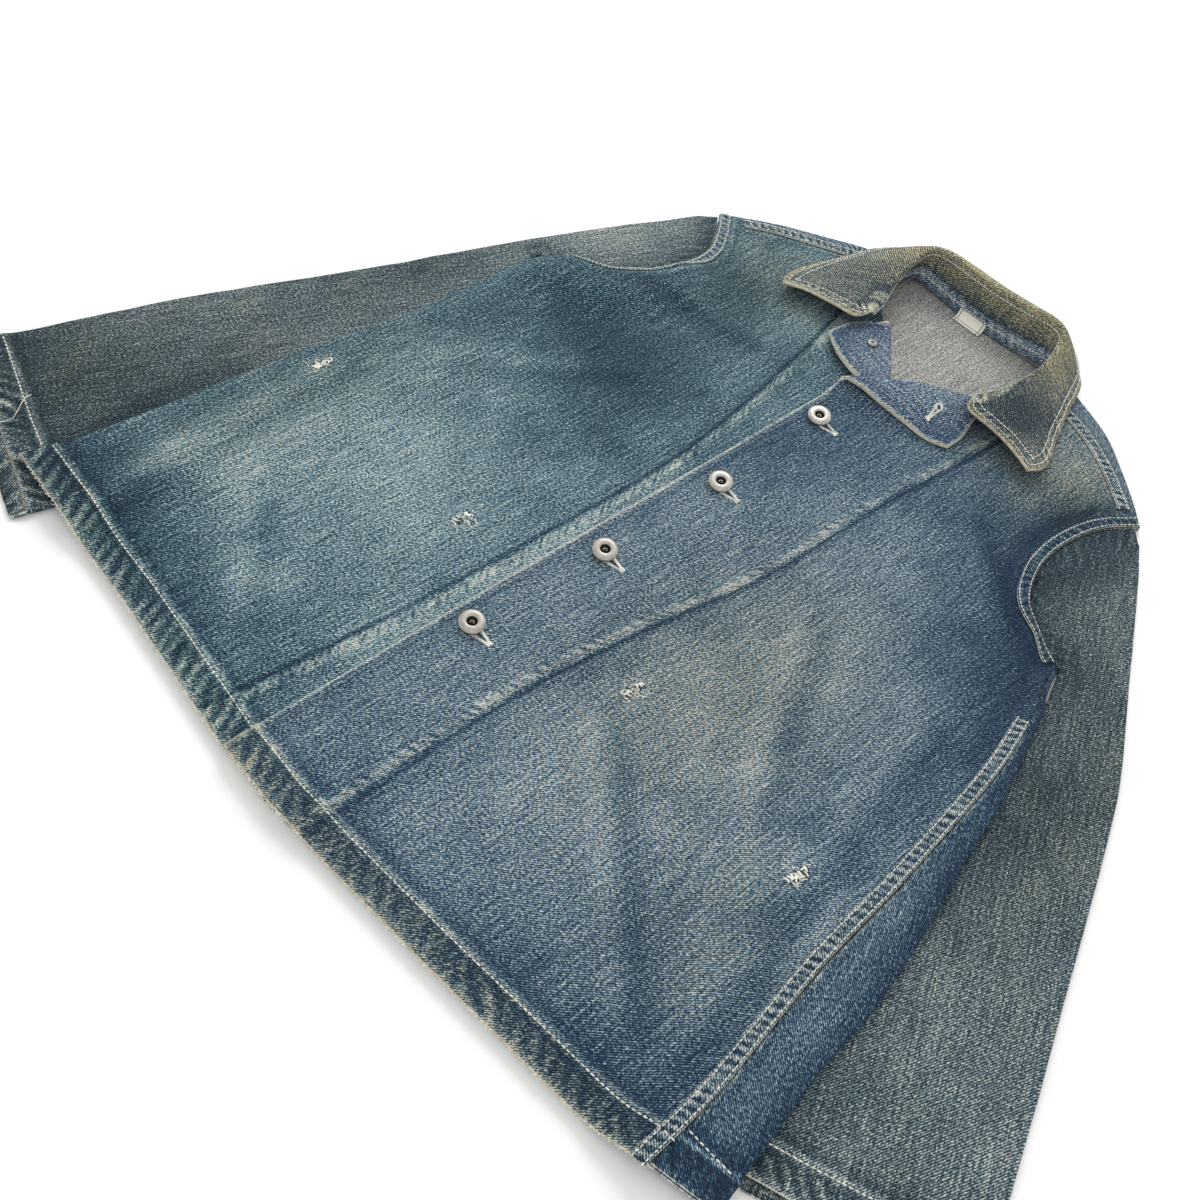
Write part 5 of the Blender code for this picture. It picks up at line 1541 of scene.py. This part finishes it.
# %% The stitching tree
def tree_with_inputs(name, sockets):
    """A new geometry tree with its group input and output; each input is (name, kind, value)."""
    tree = bpy.data.node_groups.new(name, "GeometryNodeTree")
    tree.interface.new_socket("Line", in_out="INPUT", socket_type="NodeSocketGeometry")
    for label, kind, value in sockets:
        socket = tree.interface.new_socket(label, in_out="INPUT", socket_type=kind)
        if value is not None:
            socket.default_value = value
    tree.interface.new_socket("Thread", in_out="OUTPUT", socket_type="NodeSocketGeometry")
    return tree, node(tree, "NodeGroupInput").outputs


def finish_tree(tree, geometry_socket, material_socket):
    soft = node(tree, "GeometryNodeSetShadeSmooth", None, {"Geometry": geometry_socket})
    dyed = node(tree, "GeometryNodeSetMaterial", None,
                {"Geometry": soft.outputs[0], "Material": material_socket})
    node(tree, "NodeGroupOutput", None, {"Thread": dyed.outputs[0]})
    return tree


def stitching_tree():
    tree, given = tree_with_inputs("machine stitches", [
        ("Pitch", "NodeSocketFloat", 0.003), ("Length", "NodeSocketFloat", 0.0026),
        ("Width", "NodeSocketFloat", 0.0007), ("Turn", "NodeSocketFloat", 0.0),
        ("Jitter", "NodeSocketFloat", 0.08), ("Seed", "NodeSocketInt", 1),
        ("Yarn", "NodeSocketMaterial", None)])
    steps = node(tree, "GeometryNodeCurveToPoints", {"mode": "LENGTH"},
                 {"Curve": given["Line"], "Length": given["Pitch"]})
    along = node(tree, "FunctionNodeAlignRotationToVector", {"axis": "X"},
                 {"Vector": steps.outputs["Tangent"]})
    upright = node(tree, "FunctionNodeAlignRotationToVector", {"axis": "Z", "pivot_axis": "X"},
                   {"Rotation": along.outputs[0], "Vector": (0.0, 0.0, 1.0)})
    low = node(tree, "ShaderNodeMath", {"operation": "MULTIPLY"}, {0: given["Jitter"], 1: -1.0})
    chance = node(tree, "FunctionNodeRandomValue", {"data_type": "FLOAT"},
                  {2: low.outputs[0], 3: given["Jitter"], 8: given["Seed"]})
    angle = node(tree, "ShaderNodeMath", {"operation": "ADD"},
                 {0: given["Turn"], 1: chance.outputs[1]})
    twist = node(tree, "FunctionNodeAxisAngleToRotation", None,
                 {"Axis": (0.0, 0.0, 1.0), "Angle": angle.outputs[0]})
    turned_way = node(tree, "FunctionNodeRotateRotation", {"rotation_space": "LOCAL"},
                      {0: upright.outputs[0], 1: twist.outputs[0]})
    size = node(tree, "ShaderNodeCombineXYZ", None,
                {"X": given["Length"], "Y": given["Width"], "Z": given["Width"]})
    body = node(tree, "GeometryNodeMeshIcoSphere", None, {"Radius": 0.5, "Subdivisions": 2})
    sewn = node(tree, "GeometryNodeInstanceOnPoints", None,
                {"Points": steps.outputs["Points"], "Instance": body.outputs[0],
                 "Rotation": turned_way.outputs[0], "Scale": size.outputs[0]})
    real = node(tree, "GeometryNodeRealizeInstances", None, {"Geometry": sewn.outputs[0]})
    return finish_tree(tree, real.outputs[0], given["Yarn"])


def strand_tree():
    tree, given = tree_with_inputs("thin strands", [
        ("Radius", "NodeSocketFloat", 0.0001), ("Yarn", "NodeSocketMaterial", None)])
    ring = node(tree, "GeometryNodeCurvePrimitiveCircle", {"mode": "RADIUS"},
                {"Resolution": 5, "Radius": given["Radius"]})
    tube = node(tree, "GeometryNodeCurveToMesh", None,
                {"Curve": given["Line"], "Profile Curve": ring.outputs[0], "Fill Caps": True})
    return finish_tree(tree, tube.outputs[0], given["Yarn"])


STITCHES, STRANDS = stitching_tree(), strand_tree()


def thread(name, colour, low):
    """Cotton sewing thread, matt and a little uneven in colour; also the dark strands of painted
    shade.
    """
    material, tree, shader = shader_of(name)
    place = node(tree, "ShaderNodeTexCoord")
    spots = node(tree, "ShaderNodeTexNoise", None,
                 {"Vector": place.outputs["Object"], "Scale": 1 / (4 * MM), "Detail": 3.0})
    spread = node(tree, "ShaderNodeMapRange", None,
                  {"Value": spots.outputs["Fac"], "From Min": 0.35, "From Max": 0.6})
    mixed = node(tree, "ShaderNodeMix", {"data_type": "RGBA"},
                 {"Factor": spread.outputs[0], 6: linear(low), 7: linear(colour)})
    tree.links.new(mixed.outputs[2], shader.inputs["Base Color"])
    shader.inputs["Roughness"].default_value = 0.9
    return material


CREAM = thread("cream_cotton_thread", "#efede2", "#bcc0b8")
WHITE = thread("bare_weft_thread", "#f6f4e8", "#c9c9bf")
FADED = thread("faded_topstitch_thread", "#a9aea4", "#5f6f74")
# The dark strands are painted shade, in the slits of the buttonholes and in the worn gaps.
GAP_SHADE = thread("painted_gap_shade", "#31424c", "#22303a")


def sew(name, lines, tree, settings):
    """Lines of 3-D points, in millimetres, become one piece of thread."""
    data = bpy.data.curves.new(name, "CURVE")
    data.dimensions = "3D"
    for line in lines:
        path = data.splines.new("POLY")
        path.points.add(len(line) - 1)
        path.points.foreach_set("co", [v for p in line for v in (*((p - CENTRE) * MM), 1.0)])
    holder = bpy.data.objects.new(name + "_line", data)
    bpy.context.scene.collection.objects.link(holder)
    modifier = holder.modifiers.new("thread", "NODES")
    modifier.node_group = tree
    for socket in tree.interface.items_tree:
        if socket.in_out == "INPUT" and socket.name in settings:
            modifier[socket.identifier] = settings[socket.name]
    seen = holder.evaluated_get(bpy.context.evaluated_depsgraph_get())
    mesh = bpy.data.meshes.new_from_object(seen)
    mesh.name = name
    bpy.data.objects.remove(holder, do_unlink=True)
    piece = bpy.data.objects.new(name, mesh)
    bpy.context.scene.collection.objects.link(piece)
    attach(piece, "root")
    triangles = sum(len(face.vertices) - 2 for face in mesh.polygons)
    print(name, "lines:", len(lines), " triangles:", triangles)
    return piece


def run_along(sheet, line, lift, step=1.6):
    """A seam line given on the flat cut, as places on the cloth."""
    length = sum((Vector(b) - Vector(a)).length for a, b in zip(line, line[1:]))
    return [on_cloth(sheet, *spot, lift) for spot in samples(line, max(int(length / step), 2))]


def hem_line(first, last, step):
    """The hem's row of stitches on the flat cut, from one place across to another."""
    return [(x, across(HEM, x, axis=0) + HEM_STITCH) for x in range(first, last, step)]


TOP = WALL / 2 + 0.12
hem_lines = [run_along(left_front, hem_line(-12, 300, 8), HEM_WALL / 2),
             run_along(right_front, hem_line(-252, 28, 8), HEM_WALL / 2),
             run_along(back, hem_line(342, 372, 6), HEM_WALL / 2),
             [on_cloth(side_fell, 0.9 + 1.5 * k, HEM_STITCH, FELL_WALL / 2 + 0.3)
              for k in range(7)]]
for made in (left_sleeve, right_sleeve):
    start, end = made["cuff"][0], made["cuff"][-1]
    up = Vector((start.y - end.y, end.x - start.x)).normalized()
    up = up if up.y > 0 else -up
    line = [start + (end - start) * (k / 100) + up * HEM_STITCH for k in range(3, 98)]
    hem_lines.append([touch(made, Vector((p.x, p.y, 9)), HEM_WALL / 2) for p in line])
sew("hem_stitching", hem_lines, STITCHES, {"Pitch": 0.0033, "Length": 0.0027, "Width": 0.001,
                                           "Yarn": CREAM, "Seed": 3})
left_in = [(x + 4.4, y) for x, y in LEFT_EDGE[:-1]] + [(3, 610)]
right_in = [(x - 4.4, y) for x, y in RIGHT_EDGE[:-1]] + [(18, 616)]
edge_lines = [run_along(left_front, left_in, TOP), run_along(right_front, right_in, TOP),
              run_along(left_front, LEFT_FACING_SEAM, TOP),
              run_along(right_front, RIGHT_FACING_SEAM, TOP)]
sew("front_stitching", edge_lines, STITCHES, {"Pitch": 0.0031, "Length": 0.0024, "Width": 0.0006,
                                              "Yarn": FADED, "Seed": 5})
fell_lines = []
for made in (side_fell, left_arm_fell, right_arm_fell, left_shoulder_fell, right_shoulder_fell):
    top_along = float(made["cut"][:, 1].max())
    for reach in (2.2, 8.6):
        count = int(top_along / 1.6)
        fell_lines.append([on_cloth(made, reach, top_along * k / count, FELL_WALL / 2 + 0.1)
                           for k in range(count + 1)])
sew("fell_stitching", fell_lines, STITCHES, {"Pitch": 0.0031, "Length": 0.0026, "Width": 0.0007,
                                             "Yarn": CREAM, "Seed": 7})


COLLAR_END, COLLAR_EDGE = 18, 204         # steps of a stitch line up each end and along the edge


def inside_collar_edge(distance):
    """A line that runs round the collar's outer edge, the given distance inside it."""
    line, last = [], COLLAR_END + COLLAR_EDGE
    for k in range(last + COLLAR_END + 1):
        u = min(max((k - COLLAR_END) / COLLAR_EDGE, 0), 1)
        v = 1 - max(COLLAR_END - k, k - last, 0) / COLLAR_END * 0.52
        edge = collar_surface(u, v)
        ahead = collar_surface(min(u + 0.01, 1), v) - collar_surface(max(u - 0.01, 0), v)
        down = collar_surface(u, v) - collar_surface(u, v - 0.02)
        inward = -down.normalized() * distance
        if k < COLLAR_END:
            inward = ahead.normalized() * distance
        elif k > last:
            inward = -ahead.normalized() * distance
        elif u < 0.04:
            inward += ahead.normalized() * distance * (1 - u / 0.04)
        elif u > 0.96:
            inward -= ahead.normalized() * distance * (1 - (1 - u) / 0.04)
        line.append(touch(collar, edge + inward, COLLAR_WALL / 2 + 0.15))
    return line


def neck_stitches(v):
    """A line of stitches on the side of the stand that faces into the neck."""
    line = []
    for k in range(161):
        spot = collar_surface(k / 160, v)
        line.append(spot + (Vector((2, 625, spot.z + 3)) - spot).normalized() * 1.45)
    return line


collar_lines = [inside_collar_edge(4.0), inside_collar_edge(10.0),
                neck_stitches(0.08), neck_stitches(0.34)]
sew("collar_stitching", collar_lines, STITCHES,
    {"Pitch": 0.0031, "Length": 0.0027, "Width": 0.0008, "Yarn": CREAM, "Seed": 9})

# %% [markdown]
# ## Buttonholes
# Each hole is a keyhole: a round end under the button and a straight tail that points to the
# wearer's side. Its edge is covered with close purl stitches in cream thread, which meet in
# a bar tack. The button covers the round end, so a narrow V of thread is what shows.

# %% Working the buttonholes
def tail_lines(sheet, x, y, start, end, half_width, lift):
    """The two edges of a buttonhole's tail, from the start to the end on the cut."""
    return [[on_cloth(sheet, x + start + (end - start) * k / 12,
                      y + side * half_width * (1 - 0.75 * k / 12), lift) for k in range(13)]
            for side in (1, -1)]


LAPEL_HOLE = (17.3, 590)
purl, bars, slits = [], [], []
for x, y in BUTTON_PLACES:
    purl += tail_lines(left_front, x, y - 0.8, 5.0, 16.0, 3.4, TOP + 0.1)
    bars.append([on_cloth(left_front, x + 17.0, y - 0.8 + k, TOP + 0.2)
                 for k in (-1.6, -0.5, 0.5, 1.6)])
    slits.append([on_cloth(left_front, x + 6.0 + k, y - 0.8, WALL / 2) for k in range(10)])
x, y = LAPEL_HOLE
hole = [on_cloth(left_facing, x + 2.4 * cos(a), y + 2.4 * sin(a), FACING_WALL / 2 + 0.12)
        for a in [2 * pi * k / 16 for k in range(17)]]
purl += [hole] + tail_lines(left_facing, x, y, -2.2, -13.0, 1.3, FACING_WALL / 2 + 0.12)
bars.append([on_cloth(left_facing, x - 13.6, y + k, FACING_WALL / 2 + 0.3) for k in (-1.4, 0, 1.4)])
sew("buttonhole_purl", purl, STITCHES, {"Pitch": 0.0009, "Length": 0.0024, "Width": 0.0009,
                                        "Turn": pi / 2, "Jitter": 0.25, "Yarn": CREAM, "Seed": 11})
sew("buttonhole_bars", bars, STITCHES, {"Pitch": 0.0008, "Length": 0.0034, "Width": 0.0011,
                                        "Turn": pi / 2, "Jitter": 0.3, "Yarn": CREAM, "Seed": 13})
slits.append([on_cloth(left_facing, x + k, y, FACING_WALL / 2 + 0.05)
              for k in (1.2, 0, -1.2, -4, -8, -12)])
# Dark strands along the slits: painted shade in the cut of each buttonhole.
sew("buttonhole_slits", slits, STRANDS, {"Radius": 0.00042, "Yarn": GAP_SHADE})

# %% [markdown]
# ## Wear
# The jacket keeps its damage. At four places the indigo warp has worn through and the white
# weft is left as a small ladder with loose ends. The hem's edge is frayed to a fuzz of short
# fibres, and one long thread lies over the far cuff. The frays and the fuzz come from one
# seeded generator, so that they are the same on each run. The long thread's points are listed.

# %% Frayed places and loose fibres
chance = np.random.default_rng(8324)


def strand(spot, way, length, bend, rise, count=6):
    """A short bent thread: it starts at a spot and lifts a little on its way."""
    way = Vector(way).normalized()
    aside = Vector((-way.y, way.x, 0))
    return [spot + way * length * t + aside * bend * sin(pi * t)
            + Vector((0, 0, rise * sin(pi * t * 0.8)))
            for t in [k / (count - 1) for k in range(count)]]


fray, ends, gaps = [], [], []
for number, (x, y) in enumerate(WORN_HOLES):
    sheet = right_front if x < 0 else left_front
    for k in range(11):
        row = (k - 5) * 1.35 + chance.normal(0, 0.4)
        if number in (1, 2) and 3 < k < 8:
            continue
        spot = on_cloth(sheet, x - 2.4 + chance.normal(0, 1.0), y + row, WALL / 2 + 0.25)
        fray.append(strand(spot, (1.0, chance.normal(0, 0.3), 0), chance.uniform(2.4, 4.6),
                           chance.normal(0, 1.2), chance.uniform(0.3, 1.2)))
        gap = on_cloth(sheet, x - 3.2 + chance.normal(0, 0.6), y + row + 0.7, WALL / 2 - 0.1)
        gaps.append(strand(gap, (1.0, 0.1, 0), chance.uniform(4.0, 6.4), 0.2, 0.0, 4))
    for k in range(22):
        spot = on_cloth(sheet, x + chance.normal(0, 3.6), y + chance.normal(0, 5.6), WALL / 2 + 0.1)
        ends.append(strand(spot, (chance.normal(0, 1), chance.normal(0, 1), 0),
                           chance.uniform(1.5, 4.0), chance.normal(0, 0.6),
                           chance.uniform(0.0, 0.9)))
sew("frayed_weft", fray, STRANDS, {"Radius": 0.0006, "Yarn": WHITE})
sew("frayed_ends", ends, STRANDS, {"Radius": 0.00026, "Yarn": WHITE})
# Dark strands between the weft threads: painted shade in the worn gaps.
sew("worn_gap_shade", gaps, STRANDS, {"Radius": 0.0007, "Yarn": GAP_SHADE})

fibres = []
for k in range(1100):
    x = chance.uniform(-250, 298)
    sheet = left_front if x > -12 else right_front
    spot = on_cloth(sheet, x, across(HEM, x, axis=0) + 0.2, chance.uniform(-0.6, 0.9))
    fibres.append(strand(spot, (chance.normal(0, 0.8), -1, 0), chance.uniform(0.5, 2.3),
                         chance.normal(0, 0.5), chance.uniform(-0.3, 0.5), 4))
sew("hem_fuzz", fibres, STRANDS, {"Radius": 0.00016, "Yarn": CREAM})
loose = [(-304, 62), (-303, 57), (-300, 52), (-296, 48), (-293, 43), (-292, 37), (-294, 31)]
loose = [touch(right_sleeve, Vector((*spot, 9)), HEM_WALL / 2 + 0.5 + 0.7 * sin(pi * k / 3))
         for k, spot in enumerate(loose)]
sew("loose_cuff_thread", [loose], STRANDS, {"Radius": 0.00034, "Yarn": CREAM})

# %% [markdown]
# ## Camera, light and floor
# The photo was taken from the wearer's left, high over the hem. A lens of about 49 mm at less
# than a metre gives the same perspective. The table is white and the light is soft and from
# the upper left, as in a product picture, with just enough shape to show the creases.

# %% The floor
floor_z = float(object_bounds()[0][2]) - 0.0002
mesh = bpy.data.meshes.new("floor")
mesh.from_pydata([(-3, -3, floor_z), (3, -3, floor_z), (3, 3, floor_z), (-3, 3, floor_z)], [],
                 [(0, 1, 2, 3)])
floor = bpy.data.objects.new("floor", mesh)
bpy.context.scene.collection.objects.link(floor)
# White matt paper board
material, tree, shader = shader_of("white_paper_board")
shader.inputs["Base Color"].default_value = linear("#f6f6f5")
shader.inputs["Roughness"].default_value = 0.9
mesh.materials.append(material)

# %% The light
world = bpy.data.worlds.new("white studio")
bpy.context.scene.world = world
world.use_nodes = True
world.node_tree.nodes["Background"].inputs["Color"].default_value = (1, 1, 1, 1)
world.node_tree.nodes["Background"].inputs["Strength"].default_value = 0.75


def area_light(name, place, size, power):
    """A square softbox that looks at the middle of the jacket."""
    data = bpy.data.lights.new(name, "AREA")
    data.shape, data.size, data.size_y, data.energy = "RECTANGLE", size, size, power
    lamp = bpy.data.objects.new(name, data)
    bpy.context.scene.collection.objects.link(lamp)
    lamp.location = place
    lamp.rotation_euler = (-Vector(place)).to_track_quat("-Z", "Y").to_euler()
    return lamp


area_light("key", (-1.1, 1.5, 1.5), 1.1, 34)
area_light("front fill", (1.3, -1.2, 1.6), 1.6, 9)

# %% The camera
CAMERA_PLACE = Vector((413.148, -306.101, 748.650))
FOCAL_PIXELS, PHOTO_WIDTH, SENSOR = 1637.291, 1200, 36.0
RIGHT, DOWN, FORWARD = [Vector(way) for way in (
    (0.6829821, 0.7096469, 0.1730221), (0.6223713, -0.4413841, -0.6464008),
    (-0.3823471, 0.5491642, -0.7431214))]
data = bpy.data.cameras.new("camera")
data.sensor_width, data.lens = SENSOR, FOCAL_PIXELS / PHOTO_WIDTH * SENSOR
data.clip_start, data.clip_end = 0.05, 20
camera = bpy.data.objects.new("camera", data)
bpy.context.scene.collection.objects.link(camera)
camera.matrix_world = Matrix([(*row, place) for row, place in zip(
    zip(RIGHT, -DOWN, -FORWARD), (CAMERA_PLACE - CENTRE) * MM)]
    + [(0, 0, 0, 1)])
bpy.context.scene.camera = camera
bpy.context.scene.view_settings.view_transform = "Standard"
print("camera height, m:", round(camera.matrix_world.translation.z, 3))
